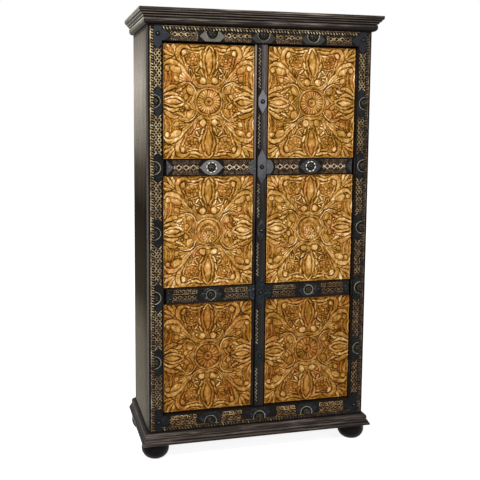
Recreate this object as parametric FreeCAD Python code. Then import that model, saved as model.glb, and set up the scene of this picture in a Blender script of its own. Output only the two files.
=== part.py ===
import FreeCAD, Part
import math
import os

from FreeCAD import Vector

# Cupboard with two doors of carved panels on a black case, bun feet under it and a crown over it.
# The front faces -Y, +X is to the viewer's right, +Z is up, and the origin is on the floor under
# the middle of the cupboard. Every length is in millimetres.

# Overall size
overall_width = 1020.0
overall_depth = 440.0
overall_height = 1830.0
overrun = 5.0

# Crown moulding, which runs round the front and both sides
crown_overhang = 38.5
crown_height = 62.0
crown_fillet_width = 4.0
crown_ovolo_radius = 15.0
crown_lip_height = 10.0
crown_quirk_depth = 2.5
crown_quirk_height = 3.0
crown_tip_height = 10.0
crown_reed_count = 3
reed_bulge = 1.8

# Base moulding
base_overhang = 29.5
base_height = 47.0
base_fillet_width = 3.0
base_ovolo_radius = 15.0
base_lip_height = 5.0
base_quirk_depth = 2.0
base_quirk_height = 3.0
base_tip_height = 4.0
base_reed_count = 2

# Bun feet
foot_height = 74.0
foot_radius = 57.0
foot_sole_radius = 20.0
foot_top_radius = 52.0
foot_widest_share = 0.68
foot_belly_share = 0.83
foot_belly_height_share = 0.20
foot_shoulder_share = 0.97
foot_shoulder_height_share = 0.88
foot_side_inset = 4.0
foot_front_inset = 13.0
foot_dowel_radius = 12.0
foot_dowel_length = 18.0
dowel_clearance = 0.1

# Case boards
side_thickness = 22.0
back_thickness = 10.0
top_board_thickness = 22.0
base_board_thickness = 22.0
floor_board_thickness = 20.0
shelf_thickness = 20.0
shelf_count = 3
shelf_setback = 8.0
cleat_width = 20.0
cleat_height = 25.0
cleat_end_gap = 15.0

# Front posts and rails
post_width = 56.5
post_depth = 46.0
top_rail_height = 101.0
bottom_rail_height = 94.0
tenon_length = 30.0
tenon_thickness = 16.0
tenon_shoulder = 14.0
tenon_clearance = 0.1

# Doors
door_gap = 3.0
meeting_gap = 5.0
meeting_stile_width = 40.0
door_board_thickness = 16.0
panel_recess = 13.0
rail_recess = 9.0
meeting_stile_recess = 5.0
edge_strip_recess = 10.0
edge_strip_width = 8.0
panel_outer_margin = 3.0
panel_strip_gap = 1.0
panel_stile_gap = 9.0
panel_bottom_gap = 2.0
panel_top_gap = 5.0
door_rail_height = 64.0
door_rail_gap = 3.0
left_rail_outer_inset = 14.0
right_rail_outer_inset = 10.0
bead_radius = 6.0
bead_sink = 3.0
bead_side_margin = 4.0

# Carving of the panels, raised on a flat ground
ground_depth = 9.0
centre_disc_radius = 50.0
centre_disc_rise = 7.0
centre_button_radius = 14.0
centre_rim_width = 7.0
carving_rise = 7.5
tall_bud_length = 108.0
tall_bud_width = 34.0
side_bud_length = 66.0
side_bud_width = 26.0
bud_edge_margin = 10.0
volute_radius = 24.0
volute_width = 7.0
volute_ball_radius = 11.0
side_volute_radius = 30.0
corner_leaf_length = 112.0
corner_leaf_width = 38.0
corner_flower_radius = 25.0
scroll_ball_radius = 13.0
upper_volute_x_share = 0.13
upper_volute_z_share = 0.36
side_volute_x_share = 0.55
side_volute_z_share = 0.17
flower_x_share = 0.40
flower_z_share = 0.73
leaf_x_share = 0.62
leaf_z_share = 0.42
scroll_x_share = 0.88
scroll_z_share = 0.60

# Border strips round the front frame
border_width = 17.5
border_thickness = 2.0
border_side_margin = 6.0
border_crown_gap = 2.0
border_base_gap = 2.0
border_end_gap = 2.0

# Iron plates
plate_thickness = 1.5
post_plate_half_height = 65.0
post_plate_point = 30.0
rail_plate_half_width = 52.0
rail_plate_point = 22.0
plate_edge_gap = 2.0
corner_upright_arm = 96.0
corner_level_arm = 67.0
corner_point = 24.0
corner_foot_gap = 1.0
lens_plate_half_width = 51.5
lens_plate_half_height = 30.5
lens_shoulder_x_share = 0.72
lens_shoulder_z_share = 0.42
lens_hollow_x_share = 0.86
lens_hollow_z_share = 0.14
lens_offset = 4.0
rail_end_plate_length = 26.0
centre_lobe_length = 31.0
centre_lobe_shoulder_share = 0.50
centre_lobe_curve_x_share = 0.84
centre_lobe_curve_z_share = 0.60
cross_plate_half_height = 71.0
cross_plate_half_width = 17.5
cross_plate_point = 33.0
long_plate_half_height = 49.0
post_plate_levels_share = (0.179, 0.342, 0.5015, 0.661, 0.820)
rail_plate_spacing = 213.0
long_plate_levels_share = (0.177, 0.5015, 0.8225)

# Medallions and nails on the plates
medallion_radius = 27.0
medallion_rim_width = 3.5
medallion_rim_height = 1.5
medallion_plate_height = 1.0
boss_radius = 15.0
boss_height = 7.0
medallion_cover = 7.0
rosette_radius = 22.0
rosette_boss_radius = 13.0
nail_radius = 9.5
nail_height = 5.0
corner_nail_inset = 15.0
corner_nail_rise = 27.0

# Hinges: four to each door, with the barrels in the gap between door and post
lowest_hinge_rise = 137.0
highest_hinge_drop = 144.0
hinge_height = 66.0
hinge_barrel_radius = 3.5
hinge_pin_radius = 2.0
hinge_running_clearance = 0.05
hinge_leaf_gap = 0.6
hinge_leaf_back_gap = 2.0
hinge_knuckle_count = 3
hinge_knuckle_gap = 0.3
hinge_panel_clearance = 1.5
hinge_notch_clearance = 0.5
hinge_leaf_root_wall = 0.6
hinge_pin_head_radius = 3.2
hinge_pin_head_height = 1.5
screw_radius = 1.8
screw_length = 14.0
screws_per_leaf = 2
screw_end_margin = 14.0

# Slide bolts inside the left door
bolt_from_edge = 30.0
bolt_plate_width = 30.0
bolt_plate_height = 116.0
bolt_plate_thickness = 1.5
bolt_rod_radius = 4.0
bolt_rod_tail = 10.0
bolt_rod_standoff = 1.0
bolt_guide_height = 10.0
bolt_guide_side_wall = 5.0
bolt_guide_back_wall = 1.5
bolt_clearance = 0.1
bolt_tip_setback = 4.0
bolt_plate_setback = 5.0
bolt_knob_radius = 4.0
bolt_knob_length = 11.0
keeper_clearance = 0.5
keeper_height = 15.0
keeper_lift = 3.0
keeper_plate_thickness = 1.5

# Magnet catch of the right door, under the upper shelf
catch_offset = 65.0
catch_width = 42.0
catch_height = 14.0
catch_depth = 20.0
strike_thickness = 1.2
strike_width = 34.0
strike_height = 12.0
strike_gap = 0.3

# Planes and places that follow from the sizes above
half_width = overall_width / 2
back_y = overall_depth / 2
case_half = half_width - crown_overhang
front_y = -overall_depth / 2 + crown_overhang
post_back_y = front_y + post_depth
board_bottom = foot_height + base_board_thickness
board_top = overall_height - top_board_thickness
crown_bottom = overall_height - crown_height
base_top = foot_height + base_height
opening_half = case_half - post_width
opening_bottom = board_bottom + bottom_rail_height
opening_top = board_top - top_rail_height
inner_half = case_half - side_thickness
back_front_y = back_y - back_thickness
shelf_front_y = post_back_y + shelf_setback
compartment_height = (board_top - opening_bottom - shelf_count * shelf_thickness) / (shelf_count + 1)

panel_front_y = front_y + panel_recess
ground_y = panel_front_y + ground_depth
board_front_y = post_back_y - door_board_thickness
rail_front_y = front_y + rail_recess
stile_front_y = front_y + meeting_stile_recess
strip_front_y = front_y + edge_strip_recess
door_bottom = opening_bottom + door_gap
door_top = opening_top - door_gap
door_outer = opening_half - door_gap
stile_half = meeting_stile_width / 2
left_meeting_x = -stile_half - meeting_gap
right_meeting_x = -stile_half
panel_outer_x = door_outer - panel_outer_margin
left_panel_inner_x = left_meeting_x - edge_strip_width - panel_strip_gap
right_panel_inner_x = stile_half + panel_stile_gap

rail_space = door_rail_height + 2 * door_rail_gap
panel_height = (door_top - door_bottom - panel_bottom_gap - panel_top_gap - 2 * rail_space) / 3
lower_rail_level = door_bottom + panel_bottom_gap + panel_height + rail_space / 2
upper_rail_level = door_top - panel_top_gap - panel_height - rail_space / 2

pin_x = opening_half - door_gap / 2
pin_y = panel_front_y - hinge_barrel_radius - hinge_panel_clearance
hinge_leaf_thickness = (door_gap - hinge_leaf_gap) / 2
leaf_root_y = pin_y + hinge_pin_radius + hinge_running_clearance + hinge_leaf_root_wall
leaf_back_y = post_back_y - hinge_leaf_back_gap
screw_y = post_back_y - door_board_thickness / 2
hinge_levels = (
    door_bottom + lowest_hinge_rise,
    lower_rail_level,
    upper_rail_level,
    door_top - highest_hinge_drop,
)

foot_x = case_half + base_overhang - foot_side_inset - foot_radius
front_foot_y = front_y - base_overhang + foot_front_inset + foot_radius
back_foot_y = back_y - foot_front_inset - foot_radius

border_outer = case_half - border_side_margin
border_inner = border_outer - border_width
top_border_top = crown_bottom - border_crown_gap
top_border_bottom = top_border_top - border_width
bottom_border_bottom = base_top + border_base_gap
bottom_border_top = bottom_border_bottom + border_width


def block(x0, x1, y0, y1, z0, z1):
    """A box between two corners."""
    low = Vector(min(x0, x1), min(y0, y1), min(z0, z1))
    return Part.makeBox(abs(x1 - x0), abs(y1 - y0), abs(z1 - z0), low)


def rod(radius, start, end):
    """A round bar from one point to another."""
    along = end - start
    return Part.makeCylinder(radius, along.Length, start, along)


def mirrored(shape):
    """The same piece on the other side of the cupboard's middle."""
    return shape.mirror(Vector(0, 0, 0), Vector(1, 0, 0))


def face_of(edges):
    """A flat face inside a closed run of edges."""
    return Part.Face(Part.Wire(edges))


def plate_from(corners, front, thickness):
    """A flat plate with straight edges. Corners are (x, z), and its front is at y = front."""
    points = [Vector(x, front, z) for x, z in corners]
    outline = Part.makePolygon(points + [points[0]])
    return Part.Face(outline).extrude(Vector(0, thickness, 0))


def group(shapes):
    """Separate solids that share one node."""
    return Part.makeCompound(shapes)


def save(name, shape):
    """Writes one node's file."""
    shape.exportStep("parts/" + name + ".step")


def joined(shapes):
    """One solid from pieces that overlap."""
    return shapes[0].multiFuse(shapes[1:]).removeSplitter()


# Mouldings

def reed_edges(start, end, count):
    """A sloping run of rounded reeds from one point of a profile to another."""
    step = (end - start) / count
    outward = Vector(step.z, 0, -step.x) if end.z > start.z else Vector(-step.z, 0, step.x)
    outward.normalize()
    edges = []
    for index in range(count):
        first = start + step * index
        last = start + step * (index + 1)
        crest = (first + last) / 2 + outward * reed_bulge
        edges.append(Part.Arc(first, crest, last).toShape())
    return edges


def quarter_round(start, centre, end):
    """A convex quarter round between two points of a profile."""
    middle = (start + end) / 2 - centre
    middle.normalize()
    crest = centre + middle * (start - centre).Length
    return Part.Arc(start, crest, end).toShape()


def run(points):
    """Straight edges through the points."""
    return [Part.makeLine(a, b) for a, b in zip(points[:-1], points[1:])]


def crown_profile():
    """The crown's section, with x as the distance out from the case."""
    ovolo_out = crown_fillet_width + crown_ovolo_radius
    lip_bottom = crown_bottom + crown_ovolo_radius
    lip_top = lip_bottom + crown_lip_height
    quirk_out = ovolo_out - crown_quirk_depth
    quirk_top = lip_top + crown_quirk_height
    tip_bottom = overall_height - crown_tip_height
    inner_bottom = Vector(0, 0, crown_bottom)
    fillet = Vector(crown_fillet_width, 0, crown_bottom)
    lip_low = Vector(ovolo_out, 0, lip_bottom)
    reeds_start = Vector(quirk_out, 0, quirk_top)
    reeds_end = Vector(crown_overhang, 0, tip_bottom)
    edges = [Part.makeLine(inner_bottom, fillet)]
    edges.append(quarter_round(fillet, Vector(crown_fillet_width, 0, lip_bottom), lip_low))
    edges += run([lip_low, Vector(ovolo_out, 0, lip_top), Vector(quirk_out, 0, lip_top), reeds_start])
    edges += reed_edges(reeds_start, reeds_end, crown_reed_count)
    tip_top = Vector(crown_overhang, 0, overall_height)
    edges += run([reeds_end, tip_top, Vector(0, 0, overall_height), inner_bottom])
    return face_of(edges)


def base_profile():
    """The base moulding's section, with x as the distance out from the case."""
    ovolo_out = base_fillet_width + base_ovolo_radius
    lip_top = base_top - base_ovolo_radius
    lip_bottom = lip_top - base_lip_height
    quirk_out = ovolo_out - base_quirk_depth
    quirk_bottom = lip_bottom - base_quirk_height
    tip_top = foot_height + base_tip_height
    inner_top = Vector(0, 0, base_top)
    fillet = Vector(base_fillet_width, 0, base_top)
    lip_high = Vector(ovolo_out, 0, lip_top)
    reeds_start = Vector(quirk_out, 0, quirk_bottom)
    reeds_end = Vector(base_overhang, 0, tip_top)
    edges = [Part.makeLine(inner_top, fillet)]
    edges.append(quarter_round(fillet, Vector(base_fillet_width, 0, lip_top), lip_high))
    edges += run([lip_high, Vector(ovolo_out, 0, lip_bottom), Vector(quirk_out, 0, lip_bottom), reeds_start])
    edges += reed_edges(reeds_start, reeds_end, base_reed_count)
    tip_low = Vector(base_overhang, 0, foot_height)
    edges += run([reeds_end, tip_low, Vector(0, 0, foot_height), inner_top])
    return face_of(edges)


def mitre_region(corners, low, high):
    """An upright prism over a floor plan, which cuts a moulding to its mitres."""
    points = [Vector(x, y, low) for x, y in corners]
    return Part.Face(Part.makePolygon(points + [points[0]])).extrude(Vector(0, 0, high - low))


def front_moulding(profile, overhang, low, high):
    """The moulding along the front, mitred at both ends."""
    reach = overhang + overrun
    section = profile.copy()
    section.rotate(Vector(0, 0, 0), Vector(0, 0, 1), -90)
    section.translate(Vector(-case_half - reach, front_y, 0))
    bar = section.extrude(Vector(2 * (case_half + reach), 0, 0))
    plan = [(-case_half - reach, front_y - reach), (case_half + reach, front_y - reach)]
    plan += [(case_half, front_y), (-case_half, front_y)]
    return bar.common(mitre_region(plan, low - overrun, high + overrun))


def right_moulding(profile, overhang, low, high):
    """The moulding along the right side, mitred at the front and flush with the back."""
    reach = overhang + overrun
    section = profile.copy()
    section.translate(Vector(case_half, front_y - reach, 0))
    bar = section.extrude(Vector(0, back_y - front_y + reach, 0))
    plan = [(case_half, front_y), (case_half + reach, front_y - reach)]
    plan += [(case_half + reach, back_y), (case_half, back_y)]
    return bar.common(mitre_region(plan, low - overrun, high + overrun))


def make_mouldings():
    crown = crown_profile()
    save("crown_front", front_moulding(crown, crown_overhang, crown_bottom, overall_height))
    crown_side = right_moulding(crown, crown_overhang, crown_bottom, overall_height)
    save("crown_right", crown_side)
    save("crown_left", mirrored(crown_side))
    base = base_profile()
    save("base_front", front_moulding(base, base_overhang, foot_height, base_top))
    base_side = right_moulding(base, base_overhang, foot_height, base_top)
    save("base_right", base_side)
    save("base_left", mirrored(base_side))


# Feet

def bun_foot():
    """A turned bun: flat sole, round belly and a drawn-in top, with a dowel for the base board."""
    belly_height = foot_height * foot_belly_height_share
    widest_height = foot_height * foot_widest_share
    shoulder_height = foot_height * foot_shoulder_height_share
    sole = Vector(foot_sole_radius, 0, 0)
    belly = Vector(foot_radius * foot_belly_share, 0, belly_height)
    widest = Vector(foot_radius, 0, widest_height)
    shoulder = Vector(foot_radius * foot_shoulder_share, 0, shoulder_height)
    top = Vector(foot_top_radius, 0, foot_height)
    centre_top = Vector(0, 0, foot_height)
    edges = [Part.makeLine(Vector(0, 0, 0), sole)]
    edges.append(Part.Arc(sole, belly, widest).toShape())
    edges.append(Part.Arc(widest, shoulder, top).toShape())
    edges += run([top, centre_top, Vector(0, 0, 0)])
    body = face_of(edges).revolve(Vector(0, 0, 0), Vector(0, 0, 1), 360)
    dowel_bottom = Vector(0, 0, foot_height - overrun)
    dowel = rod(foot_dowel_radius, dowel_bottom, Vector(0, 0, foot_height + foot_dowel_length))
    return joined([body, dowel])


def foot_places():
    """The point under the centre of each right-hand foot, by the name of its pair."""
    return {
        "front_feet": Vector(foot_x, front_foot_y, 0),
        "back_feet": Vector(foot_x, back_foot_y, 0),
    }


def make_feet():
    for name, place in foot_places().items():
        foot = bun_foot()
        foot.translate(place)
        save(name, group([foot, mirrored(foot)]))


# Case

def make_base_board():
    """The board under the case, with a dowel hole over each foot."""
    board = block(-case_half, case_half, front_y, back_y, foot_height, board_bottom)
    holes = []
    for place in foot_places().values():
        bottom = place + Vector(0, 0, foot_height - overrun)
        top = place + Vector(0, 0, foot_height + foot_dowel_length + dowel_clearance)
        hole = rod(foot_dowel_radius + dowel_clearance, bottom, top)
        holes += [hole, mirrored(hole)]
    save("base_board", board.cut(group(holes)))


def tenon(outer_x, low, high, clearance):
    """The tongue at a rail's right end, or with a clearance the mortise that takes it."""
    middle_y = (front_y + post_back_y) / 2
    half = tenon_thickness / 2 + clearance
    bottom = low + tenon_shoulder - clearance
    top = high - tenon_shoulder + clearance
    return block(opening_half - overrun, outer_x, middle_y - half, middle_y + half, bottom, top)


def frame_rail(low, high):
    """A rail between the posts, with a tenon at each end."""
    bar = block(-opening_half, opening_half, front_y, post_back_y, low, high)
    tongue = tenon(opening_half + tenon_length, low, high, 0)
    return joined([bar, tongue, mirrored(tongue)])


def front_post():
    """The right front post, with two mortises and a shallow notch behind each hinge barrel."""
    post = block(opening_half, case_half, front_y, post_back_y, board_bottom, board_top)
    cuts = []
    for low, high in ((board_bottom, opening_bottom), (opening_top, board_top)):
        cuts.append(tenon(opening_half + tenon_length + tenon_clearance, low, high, tenon_clearance))
    for level in hinge_levels:
        half = hinge_height / 2 + hinge_pin_head_height + hinge_notch_clearance
        radius = hinge_barrel_radius + hinge_notch_clearance
        cuts.append(rod(radius, Vector(pin_x, pin_y, level - half), Vector(pin_x, pin_y, level + half)))
        cuts += leaf_screws(level, opening_half, 1)
    return post.cut(group(cuts))


def make_case():
    make_base_board()
    save("top_board", block(-case_half, case_half, front_y, back_y, board_top, overall_height))
    side = block(inner_half, case_half, post_back_y, back_y, board_bottom, board_top)
    save("right_side", side)
    save("left_side", mirrored(side))
    save("back_panel", block(-inner_half, inner_half, back_front_y, back_y, board_bottom, board_top))
    post = front_post()
    save("right_post", post)
    save("left_post", mirrored(post))
    save("top_rail", frame_rail(opening_top, board_top))
    save("bottom_rail", frame_rail(board_bottom, opening_bottom))
    floor_bottom = opening_bottom - floor_board_thickness
    floor = block(-inner_half, inner_half, post_back_y, back_front_y, floor_bottom, opening_bottom)
    save("floor_board", floor.cut(bolt_hole()))


def bolt_hole():
    """The hole in the floor board that the lower slide bolt drops into."""
    low = Vector(bolt_x, bolt_y, opening_bottom - floor_board_thickness - overrun)
    high = Vector(bolt_x, bolt_y, opening_bottom + overrun)
    return rod(bolt_rod_radius + keeper_clearance, low, high)


def shelf_bottom(index):
    """The underside of a shelf, counted from the lowest."""
    return opening_bottom + compartment_height * (index + 1) + shelf_thickness * index


def make_shelves():
    """Three shelves on cleats, and the cleats under the floor board."""
    names = ("shelf_lower", "shelf_middle", "shelf_upper")
    tops = [opening_bottom - floor_board_thickness]
    for index in range(shelf_count):
        low = shelf_bottom(index)
        tops.append(low)
        board = block(-inner_half, inner_half, shelf_front_y, back_front_y, low, low + shelf_thickness)
        save(names[index], board)
    cleats = []
    for top in tops:
        cleat = block(
            inner_half - cleat_width,
            inner_half,
            shelf_front_y + cleat_end_gap,
            back_front_y - cleat_end_gap,
            top - cleat_height,
            top,
        )
        cleats += [cleat, mirrored(cleat)]
    save("shelf_cleats", group(cleats))


# Border strips and plates on the front frame

def make_borders():
    """Flat metal strips along the outer edge of the front frame."""
    front = front_y - border_thickness
    upright = block(border_inner, border_outer, front, front_y, base_top, crown_bottom)
    end = border_inner - corner_plate_reach()
    top = block(-end, end, front, front_y, top_border_bottom, top_border_top)
    bottom = block(-end, end, front, front_y, bottom_border_bottom, bottom_border_top)
    save("border_strips", group([upright, mirrored(upright), top, bottom]))


def corner_plate_reach():
    """How far a corner plate's upper end reaches in beside the upright strip."""
    return border_inner - opening_half - border_end_gap


def corner_plate(corner_z, border_z, opening_z):
    """The right-hand plate of one corner: an upright arm and a level arm, each with a pointed end."""
    inner = opening_half + plate_edge_gap
    strip_end = border_inner - corner_plate_reach()
    toward = 1 if opening_z > corner_z else -1
    inner_z = opening_z - toward * plate_edge_gap
    tip_z = corner_z + toward * corner_upright_arm
    tip_x = border_inner - corner_level_arm
    start_z = corner_z + toward * corner_foot_gap
    shoulder_z = tip_z - toward * corner_point
    shoulder_x = tip_x + corner_point
    corners = [
        (border_inner, start_z),
        (border_inner, shoulder_z),
        ((border_inner + inner) / 2, tip_z),
        (inner, shoulder_z),
        (inner, inner_z),
        (shoulder_x, inner_z),
        (tip_x, (inner_z + border_z) / 2),
        (shoulder_x, border_z),
        (strip_end, border_z),
        (strip_end, start_z),
    ]
    return plate_from(corners, front_y - plate_thickness, plate_thickness)


def post_plate(level):
    """A plate on the right post, pointed at both ends."""
    inner = opening_half + plate_edge_gap
    middle = (border_inner + inner) / 2
    shoulder = post_plate_half_height - post_plate_point
    corners = [
        (border_inner, level - shoulder),
        (middle, level - post_plate_half_height),
        (inner, level - shoulder),
        (inner, level + shoulder),
        (middle, level + post_plate_half_height),
        (border_inner, level + shoulder),
    ]
    return plate_from(corners, front_y - plate_thickness, plate_thickness)


def rail_plate(centre_x, border_z, opening_z):
    """A plate on a frame rail between the border strip and the opening, pointed at both ends."""
    toward = 1 if opening_z > border_z else -1
    inner_z = opening_z - toward * plate_edge_gap
    shoulder = rail_plate_half_width - rail_plate_point
    middle_z = (border_z + inner_z) / 2
    corners = [
        (centre_x - shoulder, border_z),
        (centre_x - rail_plate_half_width, middle_z),
        (centre_x - shoulder, inner_z),
        (centre_x + shoulder, inner_z),
        (centre_x + rail_plate_half_width, middle_z),
        (centre_x + shoulder, border_z),
    ]
    return plate_from(corners, front_y - plate_thickness, plate_thickness)


def level_at(share):
    """A height on the front, as a share of the way up between the two mouldings."""
    return base_top + (crown_bottom - base_top) * share


def rail_plate_places():
    """The middle of each plate on a frame rail."""
    return (-rail_plate_spacing, 0, rail_plate_spacing)


def make_frame_plates():
    top_corner = corner_plate(crown_bottom, top_border_bottom, opening_top)
    bottom_corner = corner_plate(base_top, bottom_border_top, opening_bottom)
    corners = [top_corner, mirrored(top_corner), bottom_corner, mirrored(bottom_corner)]
    save("corner_plates", group(corners))
    uprights = []
    for share in post_plate_levels_share:
        plate = post_plate(level_at(share))
        uprights += [plate, mirrored(plate)]
    save("post_plates", group(uprights))
    rails = []
    for centre_x in rail_plate_places():
        rails.append(rail_plate(centre_x, top_border_bottom, opening_top))
        rails.append(rail_plate(centre_x, bottom_border_top, opening_bottom))
    save("rail_plates", group(rails))


def dome(radius, height, centre_x, front, centre_z):
    """A low dome that stands forward of the plane y = front."""
    sphere_radius = (radius * radius + height * height) / (2 * height)
    centre = Vector(centre_x, front + sphere_radius - height, centre_z)
    ball = Part.makeSphere(sphere_radius, centre)
    forward = front - height - overrun
    keep = block(centre_x - radius, centre_x + radius, forward, front, centre_z - radius, centre_z + radius)
    return ball.common(keep)


def medallion(radius, boss, centre_x, front, centre_z):
    """A disc with a raised rim and a domed boss in its middle."""
    toward = Vector(0, -1, 0)
    place = Vector(centre_x, front, centre_z)
    disc = Part.makeCylinder(radius, medallion_plate_height, place, toward)
    rim = Part.makeCylinder(radius, medallion_rim_height, place, toward)
    inner = Part.makeCylinder(radius - medallion_rim_width, medallion_rim_height + overrun, place, toward)
    knob = dome(boss, boss_height, centre_x, front, centre_z)
    return joined([disc, rim.cut(inner), knob])


def make_frame_medallions():
    """Medallions on the frame's plates. The border strip runs over the outer part of each."""
    front = front_y - plate_thickness
    reach = medallion_radius + overrun
    depth = boss_height + overrun
    pieces = []
    for share in post_plate_levels_share:
        level = level_at(share)
        whole = medallion(medallion_radius, boss_radius, border_inner, front, level)
        inner = opening_half + plate_edge_gap
        keep = block(inner, border_inner, front - depth, front, level - reach, level + reach)
        piece = whole.common(keep)
        pieces += [piece, mirrored(piece)]
    for centre_x in rail_plate_places():
        top_z = top_border_bottom - medallion_cover
        whole = medallion(medallion_radius, boss_radius, centre_x, front, top_z)
        low = opening_top + plate_edge_gap
        keep = block(centre_x - reach, centre_x + reach, front - depth, front, low, top_border_bottom)
        pieces.append(whole.common(keep))
        bottom_z = bottom_border_top + medallion_cover
        whole = medallion(medallion_radius, boss_radius, centre_x, front, bottom_z)
        high = opening_bottom - plate_edge_gap
        keep = block(centre_x - reach, centre_x + reach, front - depth, front, bottom_border_top, high)
        pieces.append(whole.common(keep))
    save("frame_medallions", group(pieces))


def make_corner_nails():
    """A domed nail on each corner plate, in the corner between its two arms."""
    nails = []
    x = border_inner - corner_nail_inset
    for z in (opening_bottom - corner_nail_rise, opening_top + corner_nail_rise):
        nail = dome(nail_radius, nail_height, x, front_y - plate_thickness, z)
        nails += [nail, mirrored(nail)]
    save("corner_nails", group(nails))


# Hinges

def knuckle_levels(level):
    """The low and high end of each knuckle of a hinge."""
    step = hinge_height / hinge_knuckle_count
    bottom = level - hinge_height / 2
    half_gap = hinge_knuckle_gap / 2
    levels = []
    for index in range(hinge_knuckle_count):
        low = bottom + step * index
        levels.append((low + half_gap, low + step - half_gap))
    return levels


def leaf_screws(level, surface_x, toward):
    """Screws through a leaf into the wood behind it. Toward is +1 for the post and -1 for the door."""
    screws = []
    start_x = surface_x - toward * hinge_leaf_thickness
    span = hinge_height - 2 * screw_end_margin
    for index in range(screws_per_leaf):
        z = level - span / 2 + span * index / (screws_per_leaf - 1)
        end_x = surface_x + toward * screw_length
        screws.append(rod(screw_radius, Vector(start_x, screw_y, z), Vector(end_x, screw_y, z)))
    return screws


def hinge_leaf(level, surface_x, toward, own):
    """A right-hand hinge leaf with its knuckles. Own holds the numbers of the knuckles it carries."""
    near_x = surface_x - toward * hinge_leaf_thickness
    clear = pin_y + hinge_barrel_radius + hinge_knuckle_gap
    half = hinge_height / 2
    pieces = [block(near_x, surface_x, clear, leaf_back_y, level - half, level + half)]
    bores = []
    for index, (low, high) in enumerate(knuckle_levels(level)):
        if index not in own:
            continue
        pieces.append(rod(hinge_barrel_radius, Vector(pin_x, pin_y, low), Vector(pin_x, pin_y, high)))
        pieces.append(block(near_x, surface_x, leaf_root_y, leaf_back_y, low, high))
        bore_radius = hinge_pin_radius + hinge_running_clearance
        bore_top = Vector(pin_x, pin_y, high + overrun)
        bores.append(rod(bore_radius, Vector(pin_x, pin_y, low - overrun), bore_top))
    leaf = joined(pieces).cut(group(bores + leaf_screws(level, surface_x, toward)))
    return leaf


def hinge_pin(level):
    """A hinge pin with a small round head at each end."""
    half = hinge_height / 2
    pieces = [rod(hinge_pin_radius, Vector(pin_x, pin_y, level - half), Vector(pin_x, pin_y, level + half))]
    for end in (-1, 1):
        inner = Vector(pin_x, pin_y, level + end * half)
        outer = Vector(pin_x, pin_y, level + end * (half + hinge_pin_head_height))
        pieces.append(rod(hinge_pin_head_radius, inner, outer))
    return joined(pieces)


def make_hinges():
    post_leaves = []
    door_leaves = []
    pins = []
    post_screws = []
    door_screws = []
    outer_knuckles = range(0, hinge_knuckle_count, 2)
    inner_knuckles = range(1, hinge_knuckle_count, 2)
    for level in hinge_levels:
        post_leaves.append(hinge_leaf(level, opening_half, 1, outer_knuckles))
        door_leaves.append(hinge_leaf(level, door_outer, -1, inner_knuckles))
        pins.append(hinge_pin(level))
        post_screws += leaf_screws(level, opening_half, 1)
        door_screws += leaf_screws(level, door_outer, -1)
    save("hinge_post_leaves", group(post_leaves + [mirrored(leaf) for leaf in post_leaves]))
    save("hinge_pins", group(pins + [mirrored(pin) for pin in pins]))
    save("hinge_post_screws", group(post_screws + [mirrored(screw) for screw in post_screws]))
    save("right_hinge_leaves", group(door_leaves))
    save("left_hinge_leaves", group([mirrored(leaf) for leaf in door_leaves]))
    save("right_hinge_screws", group(door_screws))
    save("left_hinge_screws", group([mirrored(screw) for screw in door_screws]))


# Doors

def door_board(inner_x):
    """The flat board of a right-hand door from its meeting edge to its hinge edge."""
    board = block(inner_x, door_outer, board_front_y, post_back_y, door_bottom, door_top)
    holes = []
    for level in hinge_levels:
        holes += leaf_screws(level, door_outer, -1)
    return board.cut(group(holes))


def door_rail(inner_x, outer_x, level):
    """A cross rail on the front of a door."""
    half = door_rail_height / 2
    return block(inner_x, outer_x, rail_front_y, board_front_y, level - half, level + half)


def panel_levels():
    """The low and high edge of each carved panel, by name."""
    half = door_rail_height / 2 + door_rail_gap
    return {
        "lower": (door_bottom + panel_bottom_gap, lower_rail_level - half),
        "middle": (lower_rail_level + half, upper_rail_level - half),
        "upper": (upper_rail_level + half, door_top - panel_top_gap),
    }


def almond(length, width, centre_x, centre_z, angle, rise):
    """A raised almond-shaped bud. Its length runs along Z before it is turned in the panel's plane."""
    tip = Vector(0, 0, length / 2)
    side = Vector(width / 2, 0, 0)
    edges = [Part.Arc(tip, side, -tip).toShape(), Part.Arc(-tip, -side, tip).toShape()]
    bud = face_of(edges).extrude(Vector(0, -rise, 0))
    bud.rotate(Vector(0, 0, 0), Vector(0, 1, 0), angle)
    bud.translate(Vector(centre_x, ground_y, centre_z))
    return bud


def ring(radius, width, centre_x, centre_z, rise):
    """A raised flat ring, for a volute or a rim."""
    place = Vector(centre_x, ground_y, centre_z)
    outer = Part.makeCylinder(radius, rise, place, Vector(0, -1, 0))
    inner = Part.makeCylinder(radius - width, rise + overrun, place, Vector(0, -1, 0))
    return outer.cut(inner)


def disc(radius, centre_x, centre_z, rise):
    """A raised round, for a flower or the ball at a scroll's end."""
    return Part.makeCylinder(radius, rise, Vector(centre_x, ground_y, centre_z), Vector(0, -1, 0))


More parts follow.
